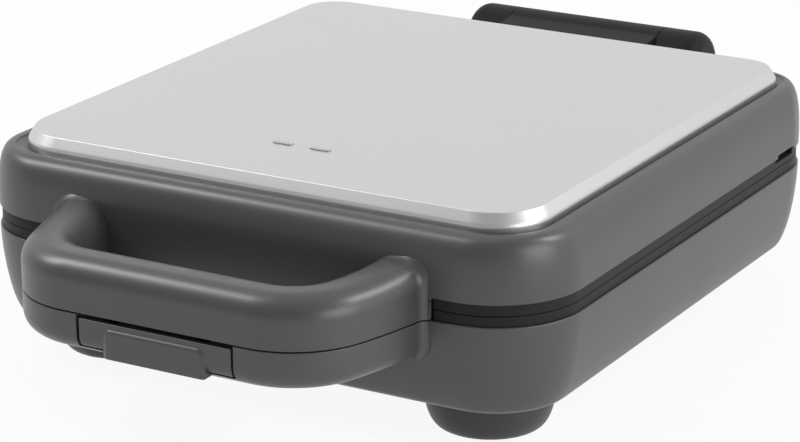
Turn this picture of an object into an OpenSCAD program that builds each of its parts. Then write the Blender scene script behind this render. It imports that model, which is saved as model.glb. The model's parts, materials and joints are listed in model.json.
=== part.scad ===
// Four-slice sandwich toaster with a hinged lid, a D-shaped handle in two halves and a front latch.
// X runs across the front, Y from the handle to the hinge, Z up from the table.

/* [Housing] */
// Width of the housing at the seam between the lid and the base
housing_w = 276.9; // [272:0.1:284]
// Depth of the housing at the same seam, without handle and hinge
housing_d = 287.4; // [282:0.1:294]
// Plan radius of the housing's corners
corner_r = 38.7; // [36:0.1:42]
// Height of the plane where the edge of the top cover lies
cover_edge_z = 101.8; // [101:0.1:103.8]
// Thickness of the moulded housing walls
wall = 2.6; // [2.2:0.1:2.8]
// Height of the feet, up to the flat underside of the housing
foot_h = 19.8; // [19.6:0.1:20.6]

/* [Seam] */
// Height of the gap between the two black bezels
seam_z = 64; // [63.8:0.1:64.2]
// Height of each black band
band_h = 4.5; // [4.4:0.1:4.7]
// How far the bands stand back from the housing's faces
band_inset = 1; // [0.8:0.1:1.2]
// Half width of the lid's front apron, which hides the bands behind the handle
apron_half_w = 91; // [89:0.5:92]

/* [Top cover] */
// Half width of the cover's flat edge
cover_half_w = 122; // [120:0.1:122.4]
// Half depth of the cover's flat edge
cover_half_d = 127.3; // [126:0.1:127.6]
// Rise of the cover's middle over its edge
cover_crown = 3; // [1:0.1:4]
// Width and drop of the cover's bevelled edge
cover_bevel = [2.9, 4.8];
// Plan radii of the cover's front and rear corners
cover_corner_r = [22.5, 15.5];
// Distance of the indicator windows from the cover's middle line
window_x = 9.1; // [8.5:0.1:12]
// Length and width of an indicator window
window_size = [9.4, 3.1];

/* [Handle] */
// Reach of the handle in front of the housing's middle
handle_reach = 204.5; // [202:0.5:207]
// Depth of the grip from its front to the finger gap
grip_depth = 24; // [22:0.5:25]
// Radius of the bend at the handle's outer corners
handle_bend_r = 38; // [36:0.5:40]
// Half length of the straight part of the grip
handle_flat = 43.5; // [42:0.5:45]
// Top of the grip
grip_top_z = 80.8; // [80:0.1:81.6]
// Underside of the grip
grip_bottom_z = 42.8; // [42.4:0.1:43.2]
// Radius along the grip's upper edges
grip_top_r = 10; // [8:0.5:10.5]

/* [Latch] */
// Half width of the latch plate
latch_half_w = 36; // [34:0.5:37]
// Half width of the raised thumb tab
tab_half_w = 23; // [20:0.5:24]

/* [Hinge] */
// Distance of the hinge axis behind the housing's middle
hinge_y = 177; // [176:0.5:178]
// Height of the hinge axis
hinge_z = 79; // [78.6:0.1:79.2]
// Outer radius of the hinge barrel
barrel_r = 17; // [15:0.5:17.5]
// Half length of the barrel's middle section, which swings with the lid
barrel_mid = 40; // [36:0.5:42]
// Half length of the whole barrel over its domed ends
barrel_end = 62.5; // [62:0.5:64]
// Diameter of the steel hinge pin
pin_d = 6; // [5:0.5:8]

/* [Cooking plates] */
// Half width and half depth of a cooking plate
plate_half = [120, 124];
// Depth of a sandwich pocket
pocket_depth = 13; // [10:0.5:13]
// Half side of a sandwich pocket at its mouth
pocket_half = 52; // [48:0.5:54]
// Diameter of the tubular heating elements
element_d = 6.4; // [5.6:0.1:6.4]

/* [Hidden] */
$fn = 64;
shadow = "#4a4b4f";
bezel_black = "#1c1c1e";
steel = "#c9c9c7";
coating = "#3a3836";
cast_metal = "#a9abad";
rubber = "#222222";
fastener = "#8d8f92";

// The handle reaches further from the housing's middle than the hinge barrel does,
// so the housing sits a little behind the origin.
tab_raise = 1.1;
housing_y = (handle_reach + tab_raise - hinge_y - barrel_r) / 2;

half_w = housing_w / 2;
half_d = housing_d / 2;
corner_x = half_w - corner_r;
corner_y = half_d - corner_r;
seam_gap = 0.15;                          // half of the gap between lid and base at the bands
lid_bottom_z = seam_z + band_h + 0.3;     // lower edge of the upper housing
base_top_z = seam_z - band_h;             // upper edge of the lower housing
handle_split_z = base_top_z - 0.1;        // underside of the apron and of the handle's upper half
split_gap = 0.5;                          // gap between the handle's two halves
pad_t = 4.4;                              // depth of the screw pads behind the front wall

// Width and height of each housing's curved wall, with the power of its curve.
base_curve = [9, base_top_z - foot_h];
base_power = 1.7;
lid_curve = [11.7, cover_edge_z - 6.5 - lid_bottom_z];
lid_power = 3;

// The cover lies in a recess whose wall slopes in towards the deck.
rim_z = lid_bottom_z + lid_curve[1];
recess_half = [half_w - lid_curve[0] + 0.3, half_d - lid_curve[0] + 0.3];
recess_r = 16.5;
recess_draft = 1.2;
deck_top_z = rim_z - 2.7;
deck_t = 2.2;
deck_z = deck_top_z - deck_t;

// Cooking plates, elements and reflectors, as heights from the seam.
plate_gap = 0.2;
plate_flange_t = 3;
plate_t = 2.5;
plate_r = 18;
pocket_pitch = [57, 59];
pocket_draft = 3;
pocket_corner_r = 12;
well_h = pocket_depth + plate_t;
stud_root_z = 8;                          // depth of the studs' blind holes in the plates' webs
element_z = plate_gap + well_h + element_d / 2 + 0.02;
reflector_t = 0.8;
reflector_z = element_z + element_d / 2 + 0.8;
reflector_half = [118, 122];
stud_y = 90;
stud_d = 3.1;
post_at = [92, 60];
post_d = 9;
pilot_d = 3;                              // screw holes in the mouldings' bosses
clearance_d = 4.4;                        // holes that the handle and hinge screws pass through
wire_hole_d = 8;

function arc(c, r, a0, a1, n) = [for (i = [0:n]) let (a = a0 + (a1 - a0) * i / n)
  [c[0] + r * cos(a), c[1] + r * sin(a)]];
// Quarter of a superellipse from its side to its top; power 2 is an ellipse.
function bulge(c, size, power, n) = [for (i = [0:n]) let (a = 90 * i / n)
  [c[0] + size[0] * pow(cos(a), 2 / power), c[1] + size[1] * pow(sin(a), 2 / power)]];
function reversed(list) = [for (i = [len(list) - 1:-1:0]) list[i]];
// Rounded rectangle at a height; radii are those of its front and rear corners.
function ring(half, radii, z, n = 8) = [for (q = [0:3]) for (i = [0:n])
  let (a = 90 * (q + i / n), r = radii[q < 2 ? 1 : 0],
       sx = (q == 0 || q == 3) ? 1 : -1, sy = (q < 2) ? 1 : -1)
  [sx * (half[0] - r) + r * cos(a), sy * (half[1] - r) + r * sin(a), z]];
function scaled_ring(ring_points, s, z) = [for (p = ring_points) [p[0] * s, p[1] * s, z]];

// Closed solid through rings of equal length, with flat ends.
module loft(rings) {
  n = len(rings[0]);
  last = len(rings) - 1;
  sides = [for (k = [0:last - 1]) for (i = [0:n - 1]) let (j = (i + 1) % n)
    each [[k * n + i, (k + 1) * n + j, (k + 1) * n + i], [k * n + i, k * n + j, (k + 1) * n + j]]];
  first_cap = [for (i = [n - 1:-1:0]) i];
  last_cap = [for (i = [0:n - 1]) last * n + i];
  polyhedron([for (r = rings) each r], concat([first_cap], sides, [last_cap]));
}

// Rounded block whose wall follows a section; the section runs from its bottom to its top.
module sectioned_block(section, cx = corner_x, cy = corner_y) {
  bottom = section[0][1];
  top = section[len(section) - 1][1];
  outline = concat([[0, bottom]], section, [[0, top]]);
  for (q = [0:3])
    translate([(q == 0 || q == 3) ? cx : -cx, (q < 2) ? cy : -cy, 0])
      rotate([0, 0, 90 * q])
        rotate_extrude(angle = 90)
          polygon(outline);
  for (side = [0, 180]) {
    rotate([0, 0, side])
      translate([cx, cy, 0])
        rotate([90, 0, 0])
          linear_extrude(2 * cy)
            polygon(outline);
    rotate([0, 0, side + 90])
      translate([cy, cx, 0])
        rotate([90, 0, 0])
          linear_extrude(2 * cx)
            polygon(outline);
  }
  translate([-cx, -cy, bottom])
    cube([2 * cx, 2 * cy, top - bottom]);
}

// Straight rounded block between two heights.
module rounded_block(half, r, z0, z1) {
  sectioned_block([[r, z0], [r, z1]], half[0] - r, half[1] - r);
}

module frame_block(outer, outer_r, inner, inner_r, z0, z1) {
  difference() {
    rounded_block(outer, outer_r, z0, z1);
    rounded_block(inner, inner_r, z0 - 1, z1 + 1);
  }
}

module box(low, high) {
  translate(low)
    cube(high - low);
}

module both_sides() {
  for (side = [0, 1])
    mirror([side, 0, 0])
      children();
}

module four_corners(x, y) {
  for (sx = [-1, 1])
    for (sy = [-1, 1])
      translate([sx * x, sy * y, 0])
        children();
}

module rod(p, d, length, axis = "z") {
  translate(p)
    rotate(axis == "x" ? [0, 90, 0] : axis == "y" ? [-90, 0, 0] : [0, 0, 0])
      cylinder(d = d, h = length);
}

// Pan-head screw with its head at the origin, pointing up; the head hangs below.
module screw(d, length, head_d, head_h) {
  difference() {
    union() {
      cylinder(d = d, h = length);
      translate([0, 0, -head_h])
        cylinder(d = head_d, h = head_h);
    }
    for (turn = [0, 90])
      rotate([0, 0, turn])
        translate([-head_d * 0.3, -0.5, -head_h - 1])
          cube([head_d * 0.6, 1, 1 + head_h * 0.5]);
  }
}

// Everything is laid out around the housing's middle and then moved into place.
module in_place(colour) {
  color(colour)
    translate([0, housing_y, 0])
      children();
}

// The lid's inner parts are laid out above the seam, the base's are their mirror image below it.
module above_seam() {
  translate([0, 0, seam_z])
    children();
}

module below_seam() {
  translate([0, 0, seam_z])
    mirror([0, 0, 1])
      children();
}

// ---- Cooking plates and what heats them, with z = 0 at the seam and the pocket opening down ----

module pocket_centres() {
  for (sx = [-1, 1])
    for (sy = [-1, 1])
      translate([sx * pocket_pitch[0], sy * pocket_pitch[1], 0])
        mirror([sx < 0 ? 1 : 0, 0, 0])
          mirror([0, sy < 0 ? 1 : 0, 0])
            children();
}

// Pocket with sloping walls and rounded corners, open at z = 0.
module pocket() {
  corner = pocket_half - pocket_corner_r;
  sectioned_block([[pocket_corner_r, -1], [pocket_corner_r, 0],
                   [pocket_corner_r - pocket_draft, pocket_depth]], corner, corner);
}

// Ridge that cuts and seals a sandwich from corner to corner.
module cut_ridge() {
  ridge_half = pocket_half * sqrt(2) - 4;
  rotate([0, 0, 45])
    translate([-ridge_half, 0, 0])
      rotate([90, 0, 90])
        linear_extrude(2 * ridge_half)
          polygon([[-4.5, pocket_depth + 0.5], [-1.2, 2], [1.2, 2], [4.5, pocket_depth + 0.5]]);
}

module cooking_plate() {
  translate([0, 0, plate_gap])
    difference() {
      union() {
        difference() {
          union() {
            rounded_block(plate_half, plate_r, 0, plate_flange_t);
            rounded_block(pocket_pitch + [pocket_half, pocket_half], pocket_corner_r + plate_t,
                          plate_flange_t, well_h);
          }
          pocket_centres()
            pocket();
        }
        pocket_centres()
          cut_ridge();
      }
      for (sy = [-1, 1])
        rod([0, sy * stud_y, stud_root_z], stud_d + 0.1, well_h);
    }
}

element_leg_x = 60;
element_bend_r = 22;
element_front_y = -84;
element_rear_y = 74;
element_cold_x = 24;
element_end_y = 112;
terminal_l = 7;

// Open loop of metal-sheathed tube with its two cold ends at the rear.
module heating_element() {
  d = element_d;
  translate([0, 0, element_z]) {
    rod([-element_leg_x + element_bend_r, element_front_y - element_bend_r, 0],
        d, 2 * (element_leg_x - element_bend_r), "x");
    both_sides() {
      translate([element_leg_x - element_bend_r, element_front_y, 0])
        rotate([0, 0, -90])
          rotate_extrude(angle = 90)
            translate([element_bend_r, 0])
              circle(d = d);
      rod([element_leg_x, element_front_y, 0], d, element_rear_y - element_front_y, "y");
      translate([element_leg_x - element_bend_r, element_rear_y, 0])
        rotate_extrude(angle = 90)
          translate([element_bend_r, 0])
            circle(d = d);
      rod([element_cold_x, element_rear_y + element_bend_r, 0],
          d, element_leg_x - element_bend_r - element_cold_x, "x");
      translate([element_cold_x, element_rear_y + element_bend_r, 0])
        sphere(d = d);
      rod([element_cold_x, element_rear_y + element_bend_r, 0],
          d, element_end_y - element_rear_y - element_bend_r, "y");
      rod([element_cold_x, element_end_y, 0], wire_d, terminal_l, "y");
    }
  }
}

// Pressed heat shield behind the element, with turned edges and four fixing feet.
module reflector() {
  lip = 9;
  difference() {
    rounded_block(reflector_half, 16, reflector_z - lip, reflector_z + reflector_t);
    rounded_block(reflector_half - [reflector_t, reflector_t], 16 - reflector_t,
                  reflector_z - lip - 1, reflector_z);
    for (sy = [-1, 1])
      rod([0, sy * stud_y, reflector_z - 1], stud_d + 0.1, 4);
    four_corners(post_at[0], post_at[1])
      cylinder_between(3.2, reflector_z - 1, reflector_z + 2);
    box([-40, reflector_half[1] - 8, reflector_z - lip - 1], [40, reflector_half[1] + 1, reflector_z]);
  }
}

// Shouldered studs screwed into the plate's bosses, with the nuts that clamp the heat shield.
module plate_nuts() {
  nut_h = 2.4;
  for (sy = [-1, 1])
    translate([0, sy * stud_y, 0]) {
      cylinder_between(stud_d, stud_root_z + 1, reflector_z + reflector_t + nut_h);
      cylinder_between(9, plate_gap + well_h, reflector_z);
      cylinder_between(9, reflector_z + reflector_t, reflector_z + reflector_t + 0.8);
      translate([0, 0, reflector_z + reflector_t])
        cylinder(d = 6.6, h = nut_h, $fn = 6);
    }
}

// Screws that hold a heat shield on its housing's posts.
module shield_screws(x, y) {
  four_corners(x, y)
    translate([0, 0, reflector_z])
      screw(3, 8, 6, 1.8);
}

// ---- Lid ----

sheet_t = 0.8;

function crown_z(s) = cover_edge_z + cover_crown * (1 - s * s);

// Outline of the cover, moved outwards from its flat edge.
function cover_ring(out, z) =
  ring([cover_half_w + out, cover_half_d + out], cover_corner_r + [out, out] * 0.8, z);

// Bevel outline of the cover from its flat edge down to the skirt, shrunk for the sheet's inner face.
function cover_edge(t) = [
  cover_ring(0.9 - t, cover_edge_z - 0.5 - t * 0.6),
  cover_ring(cover_bevel[0] - 0.7 - t, cover_edge_z - 3.4 - t * 0.3),
  cover_ring(cover_bevel[0] - t, cover_edge_z - cover_bevel[1] - 0.4),
  cover_ring(cover_bevel[0] - t, deck_top_z)
];

module window_slot(length, width, z0, z1) {
  half = (length - width) / 2;
  for (s = [-1, 1])
    rod([s * half, 0, z0], width, z1 - z0);
  box([-half, -width / 2, z0], [half, width / 2, z1]);
}

window_y = -91;
window_z = crown_z(0.7);
lens_raise = 0.5;                         // how far a lens stands above the cover

module at_window(side) {
  translate([side * window_x, window_y, 0])
    children();
}

module top_cover() {
  steps = [0.2, 0.4, 0.57, 0.72, 0.85, 0.95, 1];
  in_place(steel)
    difference() {
      loft(concat(
        [for (s = steps) scaled_ring(cover_ring(0, 0), s, crown_z(s))],
        cover_edge(0),
        reversed(cover_edge(sheet_t)),
        [for (s = reversed(steps)) scaled_ring(cover_ring(0, 0), s - 0.004, crown_z(s) - sheet_t)]
      ));
      for (side = [-1, 1])
        at_window(side)
          window_slot(window_size[0], window_size[1], deck_top_z + 2, crown_z(0) + 2);
    }
}

module window_lens(side) {
  in_place("#e6e3d8")
    at_window(side) {
      window_slot(window_size[0] - 0.2, window_size[1] - 0.2, window_z - 3, window_z + lens_raise);
      window_slot(window_size[0] + 3, window_size[1] + 3, window_z - 4, window_z - 1.4);
    }
}

module power_lens() { window_lens(-1); }
module ready_lens() { window_lens(1); }

lamp_z = deck_top_z + 4.6;
holder_half = [22, 7];
holder_screw_x = 19.5;

module neon_lamp(side) {
  in_place("#f2a65a")
    at_window(side) {
      rod([-4, 0, lamp_z], 2.4, 7, "x");
      translate([3, 0, lamp_z])
        sphere(d = 2.4);
      rod([-7, 0, lamp_z], 1, 3.2, "x");
    }
}

module power_lamp() { neon_lamp(-1); }
module ready_lamp() { neon_lamp(1); }

// Moulded cradle on the deck that holds both lamps below their lenses.
module lamp_holder() {
  in_place("#d9d6cc")
    translate([0, window_y, 0])
      difference() {
        box([-holder_half[0], -holder_half[1], deck_top_z], [holder_half[0], holder_half[1], lamp_z - 0.2]);
        both_sides()
          box([window_x - 8, -2, lamp_z - 1.4], [window_x + 8, 2, lamp_z + 1]);
        both_sides()
          rod([window_x - 4 - 4.5, 0, lamp_z], 2.5, 9, "x");
        both_sides()
          rod([holder_screw_x, 0, deck_top_z - 1], 2.6, 9);
      }
}

module lamp_holder_screws() {
  in_place(fastener)
    at_window(0)
      both_sides()
        translate([holder_screw_x, 0, deck_z])
          screw(2.6, deck_t + 3.5, 5, 1.2);
}

// Inner walls of the lid, straight at first and then leaning in under the rim.
lid_section = bulge([corner_r - lid_curve[0], lid_bottom_z], lid_curve, lid_power, 10);
lid_cavity = [
  [corner_r - wall, lid_bottom_z - 1],
  [corner_r - wall, lid_bottom_z + 0.35 * lid_curve[1]],
  [corner_r - wall - 2.6, deck_z]
];
boss_at = [120.5, 125];
boss_d = 9;
side_notch_y = [89.5, 107];

module upper_housing() {
  in_place(shadow)
    difference() {
      union() {
        difference() {
          lid_block();
          cover_recess();
          sectioned_block(lid_cavity);
        }
        box([-apron_half_w, -half_d, handle_split_z],
            [apron_half_w, -half_d + wall, lid_bottom_z]);
        box([-apron_half_w, -half_d + 1, lid_bottom_z - 1],
            [apron_half_w, -half_d + wall, lid_bottom_z + 4]);
        // Bosses for the bezel's screws and posts that carry the heat shield.
        four_corners(boss_at[0], boss_at[1])
          cylinder_between(boss_d, lid_bottom_z, deck_z + 1);
        four_corners(post_at[0], post_at[1])
          cylinder_between(post_d, seam_z + reflector_z + reflector_t, deck_z + 1);
        // Stiffening pads where the handle's legs and the hinge arm are screwed on.
        both_sides()
          box([handle_leg_x - 9, -half_d + 1.8, seam_z + 0.6],
              [handle_leg_x + 9, -half_d + pad_t, arm_screw_z + 1]);
        box([-30, half_d - 6, lid_bottom_z + 1], [30, half_d - 2, arm_screw_z + 5]);
      }
      both_sides()
        box([half_w - 8, side_notch_y[0], lid_bottom_z - 1],
            [half_w + 5, side_notch_y[1], lid_bottom_z + 1.7]);
      four_corners(boss_at[0], boss_at[1])
        cylinder_between(pilot_d, lid_bottom_z - 1, deck_z - 2);
      four_corners(post_at[0], post_at[1])
        cylinder_between(pilot_d, seam_z + reflector_z, seam_z + reflector_z + 9);
      handle_screw_points(upper_handle_screw_z)
        rod([0, -10, 0], clearance_d, 20, "y");
      for (x = arm_screw_x)
        rod([x, half_d - 10, arm_screw_z], clearance_d, 20, "y");
      rod([0, half_d - 10, hinge_z - 2], wire_hole_d, 20, "y");
      at_window(0)
        both_sides()
          rod([holder_screw_x, 0, deck_z - 1], 2.6, 9);
    }
}

// Outer form of the lid, whose corners tighten towards the rim until they match the recess.
module lid_block() {
  tighten = (corner_r - recess_r) / lid_curve[0];
  loft([for (p = reversed(lid_section)) let (inset = corner_r - p[0], r = corner_r - inset * tighten)
    ring([half_w - inset, half_d - inset], [r, r], p[1], 9)]);
}

module cover_recess() {
  sectioned_block([[recess_r - recess_draft, deck_top_z], [recess_r, rim_z], [recess_r, rim_z + 1]],
                  recess_half[0] - recess_r, recess_half[1] - recess_r);
}

module cylinder_between(d, z0, z1) {
  translate([0, 0, z0])
    cylinder(d = d, h = z1 - z0);
}

bezel_opening = plate_half + [0.5, 0.5];
bezel_seat = 1.8;                         // depth of the screw heads' seats in the bezels

// Black frame around the lid's plate; its thick band is what shows above the seam.
module upper_bezel() {
  band_r = corner_r - band_inset;
  in_place(bezel_black)
    difference() {
      union() {
        frame_block([corner_x + band_r, corner_y + band_r], band_r, bezel_opening, plate_r + 0.5,
                    seam_z + seam_gap, lid_bottom_z);
        frame_block([corner_x + corner_r - wall - 0.3, corner_y + corner_r - wall - 0.3],
                    corner_r - wall - 0.3, [half_w - wall - 2.1, half_d - wall - 2.1],
                    corner_r - wall - 2.1, lid_bottom_z - 1, lid_bottom_z + 4);
      }
      box([-apron_half_w - 1.2, -half_d - 5, seam_z - 5],
          [apron_half_w + 1.2, -half_d + wall + 0.1, lid_bottom_z + 10]);
      both_sides()
        box([handle_leg_x - 10, -half_d, seam_z - 5], [handle_leg_x + 10, -half_d + 7, cover_edge_z]);
      box([-31, half_d - 6.2, lid_bottom_z], [31, half_d + 1, cover_edge_z]);
      both_sides()
        box([half_w - 4.2, side_notch_y[0] - 0.5, lid_bottom_z - 2],
            [half_w, side_notch_y[1] + 0.5, lid_bottom_z + 5]);
      four_corners(boss_at[0], boss_at[1]) {
        cylinder_between(3.4, seam_z - 1, lid_bottom_z + 5);
        cylinder_between(6.6, seam_z - 1, seam_z + seam_gap + bezel_seat);
      }
    }
}

module upper_bezel_screws() {
  in_place(fastener)
    four_corners(boss_at[0], boss_at[1])
      translate([0, 0, seam_z + seam_gap + bezel_seat])
        screw(3, 14, 5.6, 1.5);
}

module upper_plate() {
  in_place(coating)
    above_seam()
      cooking_plate();
}

module upper_element() {
  in_place(cast_metal)
    above_seam()
      heating_element();
}

module upper_reflector() {
  in_place(cast_metal)
    above_seam()
      reflector();
}

module upper_shield_screws() {
  in_place(fastener)
    above_seam()
      shield_screws(post_at[0], post_at[1]);
}

module upper_plate_nuts() {
  in_place(steel)
    above_seam()
      plate_nuts();
}

wire_d = 2.4;
wire_x = 1.6;
wire_start_y = element_end_y + terminal_l;

// Wires from the hinge's hollow to the element's cold ends.
module upper_wiring() {
  run_z = seam_z + element_z;
  turn_y = element_end_y + 19;
  in_place("#b9b2a0")
    both_sides() {
      rod([element_cold_x, wire_start_y, run_z], wire_d, turn_y - wire_start_y, "y");
      wire_bend([element_cold_x, turn_y, run_z]);
      rod([wire_x, turn_y, run_z], wire_d, element_cold_x - wire_x, "x");
      wire_bend([wire_x, turn_y, run_z]);
      rod([wire_x, turn_y, hinge_z - 2], wire_d, run_z - hinge_z + 2);
      wire_bend([wire_x, turn_y, hinge_z - 2]);
      rod([wire_x, turn_y, hinge_z - 2], wire_d, half_d + 4 - turn_y, "y");
    }
}

module wire_bend(p) {
  translate(p)
    sphere(d = wire_d);
}

// ---- Handle ----

handle_end_angle = -9;
handle_side_angle = -18;
handle_side_r = 240;
flare_reach = 4.5;
flare_w = 2.6;
grip_edge_r = 8;
bend_centre = [handle_flat, -handle_reach + handle_bend_r];
side_start = bend_centre + handle_bend_r * [cos(handle_side_angle), sin(handle_side_angle)];
side_centre = side_start - handle_side_r * [cos(handle_side_angle), sin(handle_side_angle)];
// Angle at which the handle's outer side meets the housing's front face.
root_angle = asin((-half_d + 0.5 - side_centre[1]) / handle_side_r);
flare_angle = flare_reach / handle_side_r * 180 / PI;
handle_leg_x = side_centre[0] + handle_side_r * cos(root_angle) - grip_depth / 2;
upper_handle_screw_z = 69.8;
lower_handle_screw_z = 50.8;

// Stations along the outer plan line, from the grip's middle to the root: [centre, radius, angle].
handle_stations = concat(
  [for (i = [0:9]) [bend_centre, handle_bend_r, -90 + (90 + handle_side_angle) * i / 9]],
  [for (i = [1:3]) [side_centre, handle_side_r,
    handle_side_angle + (root_angle - flare_angle - handle_side_angle) * i / 3]],
  [for (i = [1:4]) [side_centre, handle_side_r, root_angle - flare_angle * (1 - i / 4)]],
  [[side_centre, handle_side_r, root_angle + 1]]
);

function flare_at(angle) = angle <= root_angle - flare_angle ? 0 :
  flare_w * (1 - sqrt(1 - pow(min(1, (angle - root_angle + flare_angle) / flare_angle), 2)));
function lift_at(angle) =
  2.6 * pow(max(0, (angle - handle_side_angle) / (root_angle - handle_side_angle)), 2);

// Section of one half of the handle: insets from the outer line and heights.
function upper_grip(lift) = concat(
  [[0, handle_split_z]],
  reversed(arc([grip_top_r, grip_top_z + lift - grip_top_r], grip_top_r, 90, 180, 6)),
  reversed(arc([grip_depth - grip_top_r, grip_top_z + lift - grip_top_r], grip_top_r, 0, 90, 6)),
  [[grip_depth, handle_split_z]]
);
function lower_grip() = concat(
  [[grip_depth, handle_split_z - split_gap]],
  reversed(arc([grip_depth - grip_edge_r, grip_bottom_z + grip_edge_r], grip_edge_r, -90, 0, 4)),
  reversed(arc([grip_edge_r, grip_bottom_z + grip_edge_r], grip_edge_r, 180, 270, 4)),
  [[0, handle_split_z - split_gap]]
);
// One section set up at a station, swelling by the flare towards the root.
function placed_section(station, points, side) =
  let (c = station[0], r = station[1], a = station[2], swell = flare_at(a))
  [for (p = points) let (
      inset = p[0] < grip_depth / 2 ? p[0] - swell : p[0] + swell,
      rise = abs(p[1] - handle_split_z) < 1 ? 0 : p[1] > handle_split_z ? swell : -swell * 0.3)
    [side * (c[0] + (r - inset) * cos(a)), c[1] + (r - inset) * sin(a), p[1] + rise]];

// The legs run into the housing's wall and are cut off by its outer face.
module handle_half(section_of, wall_section) {
  right = [for (s = handle_stations) placed_section(s, section_of(lift_at(s[2])), 1)];
  left = [for (s = reversed(handle_stations)) placed_section(s, section_of(lift_at(s[2])), -1)];
  difference() {
    loft(concat(left, right));
    sectioned_block(wall_section);
    box([-half_w, -half_d, base_top_z - 1], [half_w, 0, lid_bottom_z + 1]);
  }
}

module handle_screw_points(z) {
  both_sides()
    translate([handle_leg_x, -half_d, z])
      children();
}

latch_pivot = [-handle_reach + 6, 64.8];
latch_slot_half = 25;
latch_web_half = 18.5;
grip_wall = 2.3;

module upper_handle() {
  in_place(shadow)
    difference() {
      handle_half(function(lift) upper_grip(lift), lid_section);
      handle_screw_points(upper_handle_screw_z)
        rod([0, -16, 0], 3.2, 20, "y");
      box([-latch_slot_half, -handle_reach + grip_wall, handle_split_z - 1],
          [latch_slot_half, -handle_reach + 13, latch_pivot[1] + 6.5]);
      rod([-latch_slot_half - 6, latch_pivot[0], latch_pivot[1]], 3, 2 * latch_slot_half + 12, "x");
    }
}

module upper_handle_screws() {
  in_place(fastener)
    handle_screw_points(upper_handle_screw_z)
      translate([0, pad_t, 0])
        rotate([90, 0, 0])
          screw(3.2, 18, 7, 2);
}

module latch_pin() {
  in_place(steel)
    rod([-latch_slot_half - 5, latch_pivot[0], latch_pivot[1]], 2.98, 2 * latch_slot_half + 10, "x");
}

// Torsion spring on the latch pin, beside the latch's web.
module latch_spring() {
  in_place(steel)
    translate([latch_slot_half - 5.5, latch_pivot[0], latch_pivot[1]]) {
      rotate([0, 90, 0])
        difference() {
          cylinder(d = 6, h = 5);
          translate([0, 0, -1])
            cylinder(d = 3.4, h = 7);
        }
      box([0.2, 2.2, -0.4], [1, 6.8, 0.4]);
    }
}

latch_top_z = handle_split_z - 2;
latch_bottom_z = grip_bottom_z + 2.6;
tab_top_z = latch_top_z - 3.1;
tab_bottom_z = grip_bottom_z - 0.4;
plate_t_latch = 3;
hook_z = [latch_bottom_z + 3.4, latch_bottom_z + 6.4];
hook_reach = 11.5;
catch_z = hook_z[1] + 0.4;

// Latch plate with its raised thumb tab, a web up to the pivot and a hook behind it.
module latch() {
  in_place(shadow)
    translate([0, -handle_reach, 0])
      difference() {
        union() {
          latch_face(latch_half_w, latch_bottom_z, latch_top_z, 0, plate_t_latch, 3);
          latch_face(tab_half_w, tab_bottom_z, tab_top_z, -tab_raise, tab_raise + plate_t_latch, 2.5);
          box([-latch_web_half, plate_t_latch - 1.2, latch_bottom_z + 1],
              [latch_web_half, 7.4, latch_top_z - 2]);
          box([-latch_web_half, 4.6, latch_top_z - 3], [latch_web_half, 7.4, latch_pivot[1]]);
          rod([-latch_web_half, 6, latch_pivot[1]], 6.4, 2 * latch_web_half, "x");
          box([-12, plate_t_latch, hook_z[0]], [12, hook_reach, hook_z[1]]);
        }
        rod([-latch_half_w, 6, latch_pivot[1]], 3.06, 2 * latch_half_w, "x");
      }
}

// Upright plate with rounded corners, standing from the front line by its thickness.
module latch_face(half, z0, z1, y0, t, r) {
  translate([0, y0 + t, 0])
    rotate([90, 0, 0]) {
      for (x = [-half + r, half - r])
        for (z = [z0 + r, z1 - r])
          translate([x, z, 0])
            cylinder(r = r, h = t);
      translate([-half, z0 + r, 0])
        cube([2 * half, z1 - z0 - 2 * r, t]);
      translate([-half + r, z0, 0])
        cube([2 * (half - r), z1 - z0, t]);
    }
}

notch_gap = 1.3;

module lower_handle() {
  in_place(shadow)
    difference() {
      handle_half(function(lift) lower_grip(), base_section);
      handle_screw_points(lower_handle_screw_z)
        rod([0, -16, 0], 3.2, 20, "y");
      translate([0, -handle_reach, 0]) {
        box([-latch_half_w - notch_gap, -5, latch_bottom_z - 0.8],
            [latch_half_w + notch_gap, plate_t_latch + 0.6, handle_split_z + 1]);
        box([-tab_half_w - 1, -5, 0], [tab_half_w + 1, plate_t_latch + 0.6, handle_split_z]);
        box([-latch_slot_half, -1, hook_z[0] - 3.4], [latch_slot_half, 14, handle_split_z + 1]);
      }
    }
}

// Steel striker across the lower grip; the hook catches under its front edge.
module latch_catch() {
  in_place(steel)
    translate([0, -handle_reach, 0])
      box([-latch_slot_half, 8.3, catch_z], [latch_slot_half, 14, catch_z + 2]);
}

module lower_handle_screws() {
  in_place(fastener)
    handle_screw_points(lower_handle_screw_z)
      translate([0, pad_t, 0])
        rotate([90, 0, 0])
          screw(3.2, 18, 7, 2);
}

// ---- Hinge ----

arm_screw_x = [-20, 20];
arm_screw_z = 82.8;
knuckle_gap = 0.4;
pin_half = barrel_end - 9;
barrel_dome = 7;

// Barrel section from the middle of one knuckle to its domed end, turned about the X axis.
function knuckle_outline(x0) = concat(
  [[0, x0], [barrel_r, x0]],
  [for (i = [0:7]) let (a = 90 * i / 7)
    [barrel_r - barrel_dome * (1 - cos(a)), barrel_end - barrel_dome * (1 - sin(a))]],
  [[0, barrel_end]]
);

module at_hinge() {
  translate([0, hinge_y, hinge_z])
    children();
}

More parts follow.
